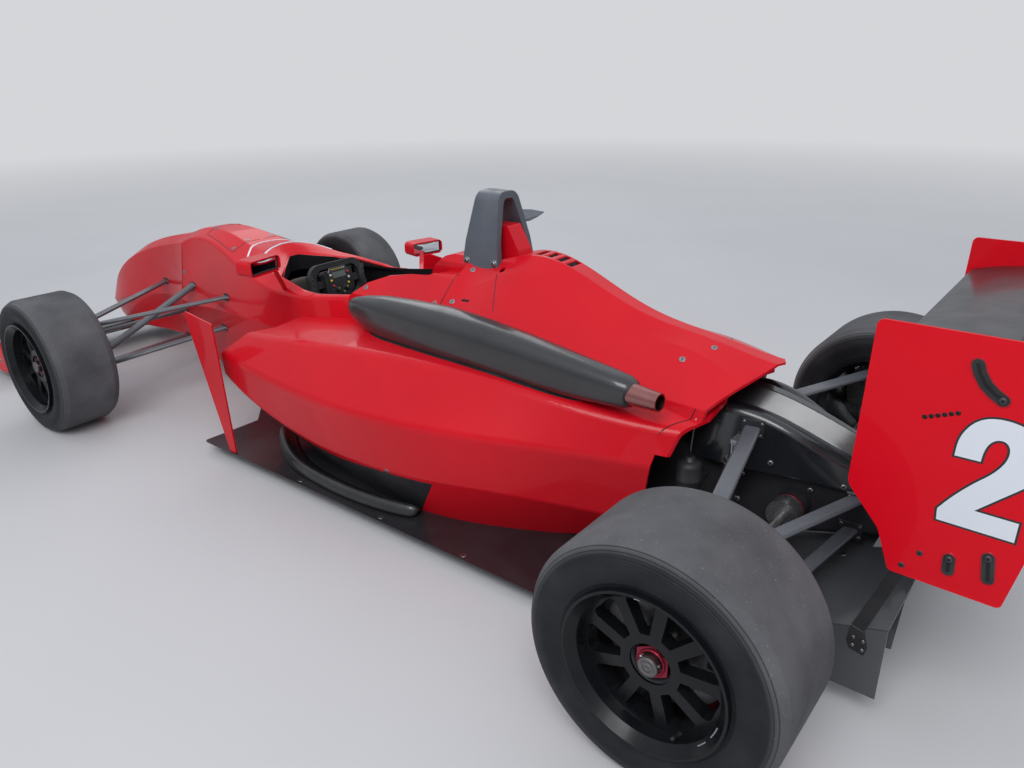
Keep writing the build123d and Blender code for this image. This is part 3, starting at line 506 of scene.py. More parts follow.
class Forms:
    """Collects many small forms into one joined mesh."""

    def __init__(self):
        self.verts, self.faces, self.slots, self.flats = [], [], [], []

    def add(self, verts, faces, slot=0, flat=False):
        start = len(self.verts)
        self.verts += [tuple(vert) for vert in verts]
        self.faces += [[start + i for i in face] for face in faces]
        self.slots += [slot] * len(faces)
        self.flats += [flat] * len(faces)

    def rings(self, rings, slot=0, flat=False, loop=False, caps=True):
        """Skins closed rings that all have the same number of points."""
        steps, last = len(rings[0]), len(rings) - 1
        pairs = [(i, i + 1) for i in range(last)]
        if loop:
            pairs.append((last, 0))
        faces = []
        for a, b in pairs:
            for k in range(steps):
                n = (k + 1) % steps
                faces.append((a * steps + k, a * steps + n, b * steps + n, b * steps + k))
        if caps and not loop:
            faces.append(range(steps - 1, -1, -1))
            faces.append(range(last * steps, (last + 1) * steps))
        self.add([point for ring in rings for point in ring], faces, slot, flat)

    def lathe(self, at, profile, steps, slot=0, flat=False, loop=False):
        """Turns (radius, height) points about the place's Z axis."""
        turns = [2 * pi * k / steps for k in range(steps)]
        self.rings([placed(at, [(r * cos(turn), r * sin(turn), h) for turn in turns]) for r, h in profile],
                   slot, flat, loop)

    def collar(self, at, height, inner, outer, half, half_out, steps, slot=0):
        """Ring round a bar, narrower at its outside."""
        self.lathe(at, [(inner, height - half), (outer, height - half_out), (outer, height + half_out),
                        (inner, height + half)], steps, slot, loop=True)

    def plate(self, at, outline, low, high, bevel=0, slot=0):
        """Flat form from an outline in the place's XY plane, its top edge bevelled."""
        rings = [level(at, outline, low), level(at, outline, high - bevel)]
        if bevel:
            rings.append(level(at, inset(outline, bevel), high))
        self.rings(rings, slot, flat=True)

    def bolt(self, at, radius, height, slot=0, dark=1):
        """Button head with a socket drawn as a disc; a black disc there is painted shade."""
        self.lathe(at, [(radius, -1), (radius, height * 0.45), (radius * 0.8, height * 0.9),
                        (radius * 0.5, height), (radius * 0.45, height * 0.98)], 14, slot)
        self.lathe(at, [(radius * 0.46, height * 0.2), (radius * 0.46, height * 1.02),
                        (radius * 0.3, height * 1.03)], 6, dark, flat=True)

    def tube(self, points, radii, steps, slot=0):
        """Round bar along places, with a radius at each."""
        points = [Vector(point) for point in points]
        side = way_at(points, 0).orthogonal()
        rings = []
        for i, (point, radius) in enumerate(zip(points, radii)):
            ahead = way_at(points, i)
            side = (side - ahead * side.dot(ahead)).normalized()
            over = ahead.cross(side)
            turns = [2 * pi * k / steps for k in range(steps)]
            rings.append([point + MM * radius * (cos(turn) * side + sin(turn) * over) for turn in turns])
        self.rings(rings, slot)

    def ribbon(self, hits, width, thick, sink=0):
        """Flat strip along places on a surface, each with its normal."""
        points = [Vector(place) for place, _ in hits]
        rings = []
        for i, (_, normal) in enumerate(hits):
            across = way_at(points, i).cross(normal).normalized() * MM * width / 2
            low = points[i] - MM * sink * normal
            high = points[i] + MM * thick * normal
            rings.append([low - across, high - across * 0.8, high + across * 0.8, low + across])
        self.rings(rings, flat=True)

    def line(self, node, start, end, ahead, width, thick, steps=24):
        """Ribbon along a node's surface between two places, broken where the surface is."""
        run = []
        for point in between(start, end, steps) + [None]:
            hit = point and reach(node, point, ahead)
            if run and (not hit or (hit[0] - run[-1][0]).length > LONGEST_STEP):
                if len(run) > 1:
                    self.ribbon(run, width, thick, SEAM_SINK)
                run = []
            if hit:
                run.append(hit)

    def piece(self, name, *materials, body="chassis"):
        """Joins the forms into one object that rides on a body."""
        mesh = bpy.data.meshes.new(name)
        mesh.from_pydata(self.verts, [], self.faces)
        for material in materials:
            mesh.materials.append(looks[material])
        for face, slot, flat in zip(mesh.polygons, self.slots, self.flats):
            face.material_index = slot
            face.use_smooth = not flat
        work = bmesh.new()
        work.from_mesh(mesh)
        bmesh.ops.recalc_face_normals(work, faces=work.faces)
        work.to_mesh(mesh)
        work.free()
        obj = bpy.data.objects.new(name, mesh)
        bpy.context.scene.collection.objects.link(obj)
        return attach(obj, body)


def oblong(x, y):
    """Outline of a rectangle with the given half sizes."""
    return [(-x, -y), (x, -y), (x, y), (-x, y)]


def flipped(points, side):
    """Outline mirrored for the car's right side."""
    return [(side * u, v) for u, v in points]


def inset(outline, amount):
    """Closed outline moved inwards, or outwards where the amount is negative."""
    area = sum(a[0] * b[1] - b[0] * a[1] for a, b in zip(outline, outline[1:] + outline[:1]))
    turn = 1 if area > 0 else -1
    moved = []
    for before, point, after in zip(outline[-1:] + outline[:-1], outline, outline[1:] + outline[:1]):
        a = Vector((point[0] - before[0], point[1] - before[1])).normalized()
        b = Vector((after[0] - point[0], after[1] - point[1])).normalized()
        normal = Vector((-a.y - b.y, a.x + b.x)).normalized()
        far = turn * amount / max(normal.dot(Vector((-a.y, a.x))), 0.4)
        moved.append((point[0] + normal.x * far, point[1] + normal.y * far))
    return moved


def softened(points, rounds=2):
    """Closed outline of (u, v, hard): soft points are rounded, hard ones stay corners."""
    for _ in range(rounds):
        made = []
        for before, point, after in zip(points[-1:] + points[:-1], points, points[1:] + points[:1]):
            if point[2]:
                made.append(point)
                continue
            for other in (before, after):
                made.append((point[0] * 0.75 + other[0] * 0.25, point[1] * 0.75 + other[1] * 0.25, 0))
        points = made
    return [(u, v) for u, v, _ in points]


def half_turn(centre, side, steps=8):
    """Points of a half circle about a centre, between one side and the other."""
    return [centre + Matrix.Rotation(pi * k / steps, 2) @ side for k in range(1, steps)]


def capsule(path, half):
    """Outline of a slot with round ends about a line of (u, v) points."""
    path = [Vector(point) for point in path]
    ways = [way_at(path, i) for i in range(len(path))]
    sides = [Vector((-way.y, way.x)) * half for way in ways]
    there = [point - side for point, side in zip(path, sides)] + half_turn(path[-1], -sides[-1])
    back = [point + side for point, side in zip(path, sides)][::-1] + half_turn(path[0], sides[0])
    return there + back


def spot(place, normal, along=UP):
    """Place on a surface: its Z axis is the normal and its Y axis leans along the given way."""
    normal = Vector(normal).normalized()
    up = Vector(along) - normal * Vector(along).dot(normal)
    up = up.normalized() if up.length > 1e-4 else normal.orthogonal().normalized()
    across = up.cross(normal)
    return Matrix.Translation(place) @ Matrix((across, up, normal)).transposed().to_4x4()


def between(start, end, steps):
    start, end = Vector(start), Vector(end)
    return [start + (end - start) * k / steps for k in range(steps + 1)]


trees = {}


def reach(node, start, ahead):
    """Point and outward normal where a ray first meets a CAD node, or None."""
    if node not in trees:
        mesh = nodes[node].data
        trees[node] = BVHTree.FromPolygons([vert.co for vert in mesh.vertices],
                                           [face.vertices[:] for face in mesh.polygons])
    ahead = Vector(ahead).normalized()
    place, normal, _, _ = trees[node].ray_cast(Vector(start), ahead)
    return place and (place, normal if normal.dot(ahead) < 0 else -normal)


def from_above(node, x, y, z=OUTSIDE):
    return reach(node, (x, y, z), DOWN)


def from_side(node, x, z, side):
    return reach(node, (x, side * OUTSIDE, z), (0, -side, 0))


def nearest(names, start, ahead):
    """Where the first of several nodes is met, or None."""
    hits = [hit for hit in (reach(name, start, ahead) for name in names) if hit]
    return min(hits, key=lambda hit: (hit[0] - Vector(start)).length, default=None)


def sided(node, side):
    return node if side > 0 else node.replace("_left", "_right")


# Panel joints of the left side, by node. From above: x and y of both ends
TOP_SEAMS = [
    ("headrest", -0.474, 0.09, -0.474, 0.245),
    ("engine_cover", -0.62, 0.12, -0.685, 0.222),
    ("tub", 1.28, 0.03, 1.28, 0.11),
    ("tub", 0.822, 0.01, 0.822, 0.152),
    ("tub", 1.09, 0.01, 1.09, 0.1),
    ("tub", 0.822, 0.152, 1.09, 0.1),
    ("nose_cone", 2.06, 0.01, 2.06, 0.07),
]
# From the side: x, and z of both ends
SIDE_SEAMS = [("headrest", -0.474, 0.7, 0.64), ("tub", 1.28, 0.6, 0.18)]
# Quarter-turn fasteners of the left side, by node. From above: x and y
TOP_FASTENERS = {
    "engine_cover": [(-0.51, 0.11), (-0.51, 0.215), (-1.28, 0.12), (-1.34, 0.05)],
    "headrest": [(-0.45, 0.235), (-0.12, 0.235)],
    "tub": [(1.262, 0.06), (0.842, 0.06), (0.842, 0.13), (1.07, 0.06)],
    "floor": [(0.3, 0.59), (-0.1, 0.585), (-0.5, 0.58), (-0.85, 0.575)],
    "diffuser": [(-1.773, 0.119), (-1.7, 0.33), (-1.4, 0.3)],
}
# From the side: x and z
SIDE_FASTENERS = {
    "engine_cover": [(-0.9, 0.56)],
    "tub": [(1.262, 0.5), (1.262, 0.3)],
    "sidepod_left": [(-0.505, 0.202)],
}


def add_panel_joints():
    forms = Forms()
    for side in SIDES:
        for node, x, y, end_x, end_y in TOP_SEAMS:
            forms.line(node, (x, side * y, OUTSIDE), (end_x, side * end_y, OUTSIDE), DOWN, 3.2, 0.5)
        for node, x, z, end_z in SIDE_SEAMS:
            start = (x, side * OUTSIDE, z)
            forms.line(node, start, (x, side * OUTSIDE, end_z), (0, -side, 0), 3.2, 0.5)
    forms.piece("panel_joints", "seal_black")


def add_fasteners():
    """Cupped discs, each with a slot across it."""
    forms = Forms()
    for side in SIDES:
        hits = [from_above(node, x, side * y) for node, places in TOP_FASTENERS.items() for x, y in places]
        for node, places in SIDE_FASTENERS.items():
            hits += [from_side(sided(node, side), x, z, side) for x, z in places]
        for hit in hits:
            at = spot(*hit, FORWARD)
            forms.lathe(at, [(9.5, -0.8), (9.5, 0.6), (8.6, 1.4), (7.4, 0.9), (6.6, 1)], 18)
            forms.plate(at, oblong(5, 1), 0.2, 1.3, slot=1)
    forms.piece("panel_fasteners", "steel", "seal_black")


# Plain race numeral on the left endplate, as millimetres rearwards and up; 1 marks a corner
NUMERAL = [
    (2010, 692, 1), (2011, 728, 0), (2024, 758, 0), (2043, 776, 0), (2068, 783, 0), (2098, 781, 0),
    (2126, 770, 0), (2147, 750, 0), (2157, 722, 0), (2156, 700, 0), (2146, 680, 0), (2124, 655, 0),
    (2095, 625, 0), (2062, 590, 1), (2136, 589, 1), (2136, 548, 1), (2003, 550, 1), (2001, 574, 1),
    (2022, 608, 0), (2049, 643, 0), (2076, 672, 0), (2090, 695, 0), (2096, 715, 0), (2094, 733, 0),
    (2084, 743, 0), (2070, 741, 0), (2060, 730, 0), (2055, 712, 0), (2054, 692, 1),
]
NUMERAL_MIDDLE = 2079
# Slots in the endplate: line, and which of its points the bolt sits at
PLATE_SLOTS = [
    ([(2016, 876), (2022, 860), (2035, 841), (2050, 828), (2066, 818)], 4),
    ([(2040, 472), (2042, 446)], 0),
    ([(2103, 500), (2110, 455)], 0),
]
# Layers of each slot: half width, low, high, bevel, material slot
SLOT_LAYERS = [(14.2, -0.5, 0.9, 0.6, 2), (11.2, -0.4, 1.3, 0.4, 1), (3.5, -0.3, 1.6, 0, 3)]
PLATE_BOLTS = [(1988, 464), (1960, 424)]
PLATE_HOLES = [(1948 + 10.7 * k, 754.5 + 4.4 * k) for k in range(6)]
ENDPLATE_Y = 0.45


def add_endplate_fittings():
    """Numerals, slots, bolts and a row of small holes on the rear endplates' outer faces; the holes and the
    slots' middles are black as painted shade.
    """
    figure, fittings = Forms(), Forms()
    outline = softened(NUMERAL)
    for side in SIDES:
        at = spot((0, side * ENDPLATE_Y, 0), (0, side, 0))
        shown = outline if side > 0 else [(2 * NUMERAL_MIDDLE - u, v) for u, v in outline]
        figure.plate(at, flipped(inset(shown, -4.2), side), -0.4, 0.35, slot=1)
        figure.plate(at, flipped(shown, side), -0.3, 0.6)
        for path, seat in PLATE_SLOTS:
            for half, *layer in SLOT_LAYERS:
                fittings.plate(at, flipped(capsule(path, half), side), *layer)
            u, v = path[seat]
            fittings.bolt(shift(at, side * u, v, 1), 7.5, 4.5, 0, 3)
        for u, v in PLATE_BOLTS:
            fittings.bolt(shift(at, side * u, v, 0), 6.2, 2.2, 0, 3)
        for u, v in PLATE_HOLES:
            place = shift(at, side * u, v, 0)
            fittings.lathe(place, [(5, -0.6), (5, 0.4), (4.2, 0.6), (3.8, 0.3)], 16, 2)
            fittings.lathe(place, [(4.7, -0.4), (4.7, 0.6), (2, 0.65)], 16, 3)
    figure.piece("race_numerals", "numeral_white", "numeral_black")
    fittings.piece("endplate_fittings", "collar_grey", "seal_black", "plate_edge", "joint_black_and_hole_shade")


# Wheels of each axle: name, axle, middle's y, and in millimetres from that middle the rim's edge and
# the spokes' face
WHEELS = [("front", FRONT_AXLE, FRONT_Y, 125, 64), ("rear", REAR_AXLE, REAR_Y, 150, 91)]
# Wheel's turned parts, as radius and height over the spokes' face
CENTRE_RING = [(41, 1.5), (43.5, 6), (47, 11.5), (51, 15.2), (55, 16), (60, 14.5), (63.2, 11),
               (64.8, 5.5), (65.2, 1), (41, -3)]
RED_RING = [(40.5, -11.8), (40.5, -8.5), (42.5, -7), (45, -8.5), (45.2, -11.8)]
NUT_RING = [(30, 8), (30, 9.8), (28.5, 11.2), (24, 11.2), (23.6, 8)]
SHAFT_CAP = [(22.2, 18), (22.6, 26.5), (21.2, 28.4), (15, 28.8), (14.6, 27.8), (10, 27.8), (9.6, 28.8),
             (4, 29), (3.6, 28.1), (1, 28)]
VALVE = [(6.2, -4), (5.8, 4), (4, 7), (3.7, 20), (4.4, 21), (4.4, 30), (3, 31)]
# Balance weights: angle of the first, how many
WEIGHTS = [(-24, 5), (-35, 2), (-39, 2), (96, 2)]


def add_wheel_trim():
    """Centre ring, nut rings, cap, valve, balance weights and rim lip of each wheel."""
    for end, axle, mid_y, half, face in WHEELS:
        for side in SIDES:
            forms = Forms()
            at = spot((axle[0], side * mid_y, axle[1]), (0, side, 0))
            hub = shift(at, 0, 0, face)
            forms.lathe(hub, CENTRE_RING, 64, 0, loop=True)
            forms.lathe(hub, RED_RING, 48, 1, loop=True)
            forms.lathe(hub, NUT_RING, 40, 1, loop=True)
            forms.lathe(hub, SHAFT_CAP, 36, 2)
            for k in range(3):
                spring = shift(hub @ Matrix.Rotation(2 * pi * k / 3 + 0.4, 4, "Z"), 22.8, 0, 18)
                forms.plate(spring, [(-1, -3), (2.8, -2), (2.8, 2), (-1, 3)], -4, 4, 0.8, slot=3)
            lip = shift(at, 0, 0, half)
            forms.lathe(lip, [(182.2, 0.6), (183.4, 1.4), (184.2, 0.6), (183.4, -0.2)], 96, 4, loop=True)
            valve = shift(hub @ Matrix.Rotation(radians(-62), 4, "Z"), 158, 0, 10.2)
            forms.lathe(valve @ Matrix.Rotation(radians(-18), 4, "Y"), VALVE, 14, 5)
            for turn, count in WEIGHTS:
                for k in range(count):
                    weight = shift(lip @ Matrix.Rotation(radians(turn) + k * 0.04, 4, "Z"), 166.7, 0, -22)
                    weight = weight @ Matrix.Rotation(-pi / 2, 4, "Y")
                    forms.plate(weight, oblong(9, 3.1), -1, 2.8, 0.6, slot=3)
            corner = f"{end}_{SIDE_NAME[side]}"
            forms.piece(f"wheel_trim_{corner}", "collar_grey", "nut_red", "cap_grey", "alloy", "rim_black",
                        "seal_black", body=f"wheel_{corner}")
            add_disc_detail(hub, corner)


def add_disc_detail(hub, corner):
    """Drilled holes, drawn as black discs of painted shade, and a ring on a brake disc, which lies behind the
    spokes.
    """
    forms = Forms()
    for ring in range(4):
        radius = 92 + 12.5 * ring
        for k in range(30):
            angle = 2 * pi * (k + 0.25 * ring) / 30
            place = shift(hub, radius * cos(angle), radius * sin(angle), -60)
            forms.lathe(place, [(3.4, -0.2), (3.4, 0.2), (2.6, 0.3)], 8, 1)
    forms.lathe(hub, [(79, -59.5), (79, -57.5), (74, -56), (69, -57.5), (69, -59.5)], 48, 0, loop=True)
    forms.piece(f"brake_disc_detail_{corner}", "cast_alloy", "joint_black_and_hole_shade", body=f"wheel_{corner}")


def add_mirror_glass():
    """Slightly domed glass and a dark rim in each mirror."""
    forms = Forms()
    wide, tall, steps = 68.5, 22.5, 12
    n = steps + 1
    rim = oblong(tall, wide)
    for x, y, z, toe in ((0.215, 0.4, 0.728, 12), (0.2, -0.4, 0.648, -12)):
        at = Matrix.Translation((x, y, z)) @ Matrix.Rotation(radians(toe), 4, "Z")
        at = at @ Matrix.Rotation(-pi / 2, 4, "Y")
        grid = [(-1 + 2 * i / steps, -1 + 2 * j / steps) for j in range(n) for i in range(n)]
        verts = placed(at, [(v * tall, u * wide, -9.5 + 2.2 * (1 - u * u) * (1 - v * v)) for u, v in grid])
        faces = [(k, k + 1, k + n + 1, k + n) for k in range(n * steps) if k % n < steps]
        forms.add(verts, faces)
        inner = inset(rim, 3)
        forms.rings([level(at, rim, -12), level(at, rim, -7), level(at, inner, -7), level(at, inner, -10)],
                    1, flat=True, caps=False)
    forms.piece("mirror_glasses", "mirror_glass", "seal_black")


def add_hoop_bolts():
    forms = Forms()
    for side in SIDES:
        for x, z in ((-0.473, 0.785), (-0.588, 0.788)):
            at = spot(*from_side("roll_hoop", x, z, side), FORWARD)
            forms.lathe(at, [(12.5, -1), (12.5, 1.2), (11.5, 2)], 24)
            forms.bolt(shift(at, 0, 0, 1), 8.8, 7.5)
    forms.piece("hoop_bolts", "steel", "joint_black_and_hole_shade")


def add_louvre_lips():
    """Raised lip of each louvre, and a dark sheet in its throat as painted shade."""
    forms = Forms()
    for front in (-0.707, -0.747, -0.786, -0.823):
        hits = [from_above("engine_cover", front + 0.004, 0.029 - 0.058 * k / 8) for k in range(9)]
        forms.ribbon(hits, 2.8, 1, 1)
        top = hits[4][0].z - 0.004
        throat = [(front - 0.0045 * k, y, top - 0.005 * k) for k in range(5) for y in (0.028, -0.028)]
        forms.add(throat, [(k, k + 1, k + 3, k + 2) for k in range(0, 8, 2)], 1)
    forms.piece("louvre_lips", "red_paint", "joint_black_and_hole_shade")


# Steering wheel's face plate, buttons with the slots of their colours, and knobs, in millimetres
FACE_PLATE = [(-45, -62), (45, -62), (52, -40), (52, 40), (40, 58), (-40, 58), (-52, 40), (-52, -40)]
BUTTONS = [(-44, 30, 4), (44, 30, 5), (-44, 8, 6), (44, 8, 4), (-38, -14, 5), (38, -14, 6)]
KNOBS = [(-22, -30), (22, -30), (0, -48)]
KNOB = [(12, 0), (12, 1.5), (9.2, 3), (8.6, 13), (7, 14)]
PADDLE = [(-30, -12), (40, -18), (44, 22), (-30, 14)]


def add_steering_controls():
    """Face plate, screen, buttons, knobs, lamps, grips and paddles of the steering wheel."""
    tilt = radians(12)
    at = spot((0.33, 0, 0.57), (-cos(tilt), 0, sin(tilt)), (sin(tilt), 0, cos(tilt)))
    front = shift(at, 0, 0, 19)
    forms = Forms()
    forms.plate(at, FACE_PLATE, 15.8, 19.2, 1.5)
    forms.plate(shift(front, 0, 27, 0), oblong(36, 15), 0, 1.5, 1, slot=2)
    forms.plate(shift(front, 0, 27, 0), oblong(33, 12), 1.2, 2, slot=3)
    for x, y, slot in BUTTONS:
        forms.lathe(shift(front, x, y, 0), [(7.2, 0), (7.2, 2.5), (6, 3)], 20, 2)
        forms.lathe(shift(front, x, y, 0), [(5.2, 2), (5.2, 5.2), (4, 6.2)], 16, slot)
    for x, y in KNOBS:
        forms.lathe(shift(front, x, y, 0), KNOB, 12, 2, flat=True)
        forms.plate(shift(front, x, y + 4, 0), oblong(1, 4), 13.5, 14.6, slot=6)
    for k in range(8):
        lamp_at = shift(front, -31.5 + 9 * k, 50, 0)
        forms.lathe(lamp_at, [(2.6, 0), (2.6, 1.6), (1.4, 2.6)], 10, 4 if k > 5 else 6)
    for side in SIDES:
        bow = [(side * (127 + 4 * cos(pi * k / 6)), -46 + 92 * k / 12, 0) for k in range(13)]
        forms.tube(placed(at, bow), [15.5 + 2.2 * sin(pi * k / 12) for k in range(13)], 20, 1)
        for k in range(4):
            forms.lathe(shift(at, side * 128, -30 + 20 * k, 16.6), [(4, -1), (3.6, 1.2), (2, 1.8)], 10)
        forms.plate(shift(at, side * 70, 20, -34), flipped(PADDLE, side), 0, 2.5, 0.8, slot=2)
    forms.piece("steering_wheel_controls", "panel_carbon", "grip_black", "seal_black", "screen_grey",
                "button_white", "button_red", "button_yellow", body="steering_wheel")


# Rear damper: its y, and x and z of its foot, its spring's top and its rod's top
DAMPER_Y = 0.178
DAMPER = [(-1.464, 0.262), (-1.475, 0.402), (-1.473, 0.446)]


def add_damper_detail():
    """Coils, seats and rod of the rear dampers, and the bolts beside them."""
    forms = Forms()
    for side in SIDES:
        low, high, top = (Vector((x, side * DAMPER_Y, z)) for x, z in DAMPER)
        at = spot(low, high - low, FORWARD)
        length = (high - low).length / MM
        for k in range(9):
            forms.collar(at, length * (0.1 + 0.085 * k), 20, 21.4, 2.2, 1.6, 28)
        for height, outer, slot in ((6, 24.5, 2), (length - 12, 26, 2), (length * 0.93, 23.5, 1)):
            forms.collar(at, height, 19.8, outer, 4, 3, 28, slot)
        forms.lathe(spot(high, top - high, FORWARD), [(15, 0), (15, 4), (11, 10), (10.4, 11)], 20, 2)
        for x, z in ((-1.48, 0.331), (-1.475, 0.249)):
            forms.bolt(spot(*from_side("gearbox", x, z, side), FORWARD), 8.5, 7, 3)
    forms.piece("damper_details", "alloy", "seal_black", "cap_grey", "steel")


# Strap from each rear endplate to the diffuser's side, as millimetres rearwards and up
STRAP = [(1978, 430), (1952, 437), (1886, 232), (1914, 224)]
STRAP_FOOT = [(1914, 226), (1886, 234), (1882, 190), (1890, 172), (1922, 166), (1926, 186)]
STRAP_BOLTS = [(1916, 202), (1895, 205), (1917, 179), (1896, 184)]
STRAP_Y = 0.4425


def add_diffuser_straps():
    forms = Forms()
    for side in SIDES:
        at = spot((0, side * STRAP_Y, 0), (0, side, 0))
        forms.plate(at, flipped(STRAP, side), 0, 3, 0.8)
        forms.plate(at, flipped(STRAP_FOOT, side), -0.5, 4, 0.8)
        for u, v in STRAP_BOLTS:
            forms.bolt(shift(at, side * u, v, 4), 4.2, 3, 1, 2)
    forms.piece("diffuser_straps", "seal_black", "steel", "joint_black_and_hole_shade")


# Airbox cover's sections in millimetres: x, centre's y and z, half height, half width
AIRBOX = [
    (-138, 325, 625, 10, 8), (-150, 325, 625, 28, 21), (-175, 326, 624, 40, 29), (-240, 328, 621, 58, 41),
    (-330, 330, 617, 75, 53), (-460, 331, 612, 87, 63), (-600, 330, 608, 93, 69), (-750, 326, 602, 86, 66),
    (-900, 322, 594, 76, 60), (-1060, 320, 586, 61, 52), (-1195, 318, 580, 47, 44),
    (-1230, 318, 578, 42, 40), (-1246, 318, 577, 34, 33), (-1254, 318, 577, 22, 21),
    (-1256, 318, 577, 10, 10),
]


def superellipse(angle, power):
    return [abs(part) ** power * (1 if part > 0 else -1) for part in (cos(angle), sin(angle))]


def airbox_point(x, angle):
    """Point of the airbox cover's skin at x in millimetres, the angle turning up from the left."""
    first, last = next(pair for pair in zip(AIRBOX, AIRBOX[1:]) if pair[0][0] >= x >= pair[1][0])
    share = (first[0] - x) / (first[0] - last[0])
    y, z, tall, wide = (a + (b - a) * share for a, b in zip(first[1:], last[1:]))
    across, up = superellipse(angle, 0.78)
    return MM * Vector((x, y + wide * across, z + tall * up))


def add_airbox():
    """Smooth teardrop cover over the air intake, with the joint round its foot."""
    steps = 48
    skin, joint = Forms(), Forms()
    skin.rings([[airbox_point(x, 2 * pi * k / steps) for k in range(steps)] for x, *_ in AIRBOX])
    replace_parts(skin.piece("airbox_skin", "cover_carbon"), "airbox_cover")
    hits = []
    for k in range(60):
        for turn in range(130):
            point = airbox_point(-190 - 985 * k / 59, -radians(turn))
            below = from_above("sidepod_left", point.x, point.y)
            if below and below[0].z > point.z - 0.002:
                hits.append((below[0] + Vector((0, 0.003, 0)), below[1]))
                break
    joint.ribbon(hits, 7.5, 2.2, 3)
    joint.piece("airbox_seal", "seal_black")


# Black moulding on the floor under each sidepod in millimetres: x and y of its ridge, then its
# section as the way out from the ridge and the height
MOULDING = [(262, 390), (236, 411), (175, 452), (114, 485), (35, 520), (-44, 543), (-173, 557),
            (-313, 560), (-444, 546), (-542, 526), (-600, 505)]
MOULDING_SECTION = [(22, 49.5), (18, 60), (14, 74), (9, 84), (2, 89.5), (-6, 90.5), (-13, 87), (-22, 76),
                    (-38, 62), (-75, 49.5)]


def add_mouldings():
    for side in SIDES:
        forms = Forms()
        path = [Vector((x, side * y)) for x, y in MOULDING]
        rows = []
        for i, point in enumerate(path):
            ahead = way_at(path, i)
            out = Vector((-ahead.y, ahead.x))
            out *= side if out.y > 0 else -side
            rows.append([MM * Vector((*(point + out * far), z)) for far, z in MOULDING_SECTION])
        forms.rings(rows)
        moulding = forms.piece(f"floor_moulding_{SIDE_NAME[side]}", "moulding_black")
        smooth = moulding.modifiers.new("smooth", "SUBSURF")
        smooth.levels = smooth.render_levels = 1


# Hose of the left tank, and turned parts by the gearbox as radius and height
TANK_HOSE = [(-1.376, 0.228, 0.396), (-1.377, 0.229, 0.425), (-1.383, 0.236, 0.47), (-1.392, 0.244, 0.52)]
TANK = [(26, 0), (33, 4), (34, 14), (34, 60), (35.2, 62), (35.2, 68), (34, 70), (34, 104), (31, 112),
        (18, 118), (14, 119), (14, 128), (11, 130)]
SHAFT_SEAL = [(35.5, -1), (35.5, 4), (37.5, 6.2), (41, 6.2), (42.5, 4), (42.5, -1)]


def add_bay_pieces():
    """Catch tanks, seal rings and bolts round the gearbox."""
    forms = Forms()
    for side in SIDES:
        at = spot((-1.376, side * 0.228, 0.268), UP, FORWARD)
        forms.lathe(at, TANK, 40)
        forms.collar(at, 35, 35.2, 35.8, 5, 4, 40, 1)
        stay = spot((-1.376, side * 0.196, 0.303), (0, -side, 0), FORWARD)
        forms.plate(stay, oblong(4, 12), 0, 74, 1, slot=1)
        forms.tube([(x, side * y, z) for x, y, z in TANK_HOSE], [2.2] * len(TANK_HOSE), 8, 2)
        ring = spot((REAR_AXLE[0], side * 0.1402, REAR_AXLE[1]), (0, side, 0))
        forms.lathe(ring, SHAFT_SEAL, 48, 3, loop=True)
        for x, z in ((-1.741, 0.367), (-1.56, 0.395), (-1.66, 0.33)):
            hit = from_side("gearbox_fairings", x, z, side) or from_side("gearbox", x, z, side)
            forms.bolt(spot(*hit, FORWARD), 8, 6, 2, 4)
    forms.piece("bay_fittings", "cast_alloy", "seal_black", "steel", "nut_red", "joint_black_and_hole_shade")


# Cowl round the front of the cockpit, left half from rear to middle, in millimetres:
# edge x, y, z; ridge x, y, z; foot x, y
COWL = [
    (171, 232.7, 560, 173, 243, 561, 176, 262), (241, 221, 590, 243, 231, 594, 247, 257),
    (341, 204.8, 604, 344, 217, 609, 350, 250), (401, 195, 611, 406, 210, 616, 415, 244),
    (432, 189.6, 615, 455, 206, 620, 480, 236), (473, 150, 621, 540, 178, 634, 585, 212),
    (518, 107, 627, 615, 142, 657, 690, 172), (563, 63.5, 632, 645, 88, 675, 755, 108),
    (593, 34.5, 634, 653, 46, 683, 780, 57), (604, 13, 636, 656, 15, 686, 788, 19),
]
COWL_STEPS = 4
# Shares of the way from edge to ridge and from ridge to foot
COWL_FACE = (0.06, 0.25, 0.5, 0.75, 0.94)
COWL_FLANK = (0.05, 0.12, 0.22, 0.35, 0.5, 0.66, 0.83, 1)
# Height taken where the cowl's underside has no tub below it
OPENING_HEIGHT = 0.56


def drawn_through(rows, steps):
    """Smooth run through rows of numbers, with the given steps between neighbours."""
    made = []
    for i in range(len(rows) - 1):
        around = [rows[min(max(i + k, 0), len(rows) - 1)] for k in (-1, 0, 1, 2)]
        for k in range(steps):
            t = k / steps
            made.append([0.5 * (2 * q + (r - p) * t + (2 * p - 5 * q + 4 * r - s) * t * t
                                + (3 * q - p - 3 * r + s) * t ** 3) for p, q, r, s in zip(*around)])
    return made + [list(rows[-1])]


def tub_height(x, y):
    hit = from_above("tub", x, y)
    return hit[0].z if hit and hit[0].z > 0.5 else OPENING_HEIGHT


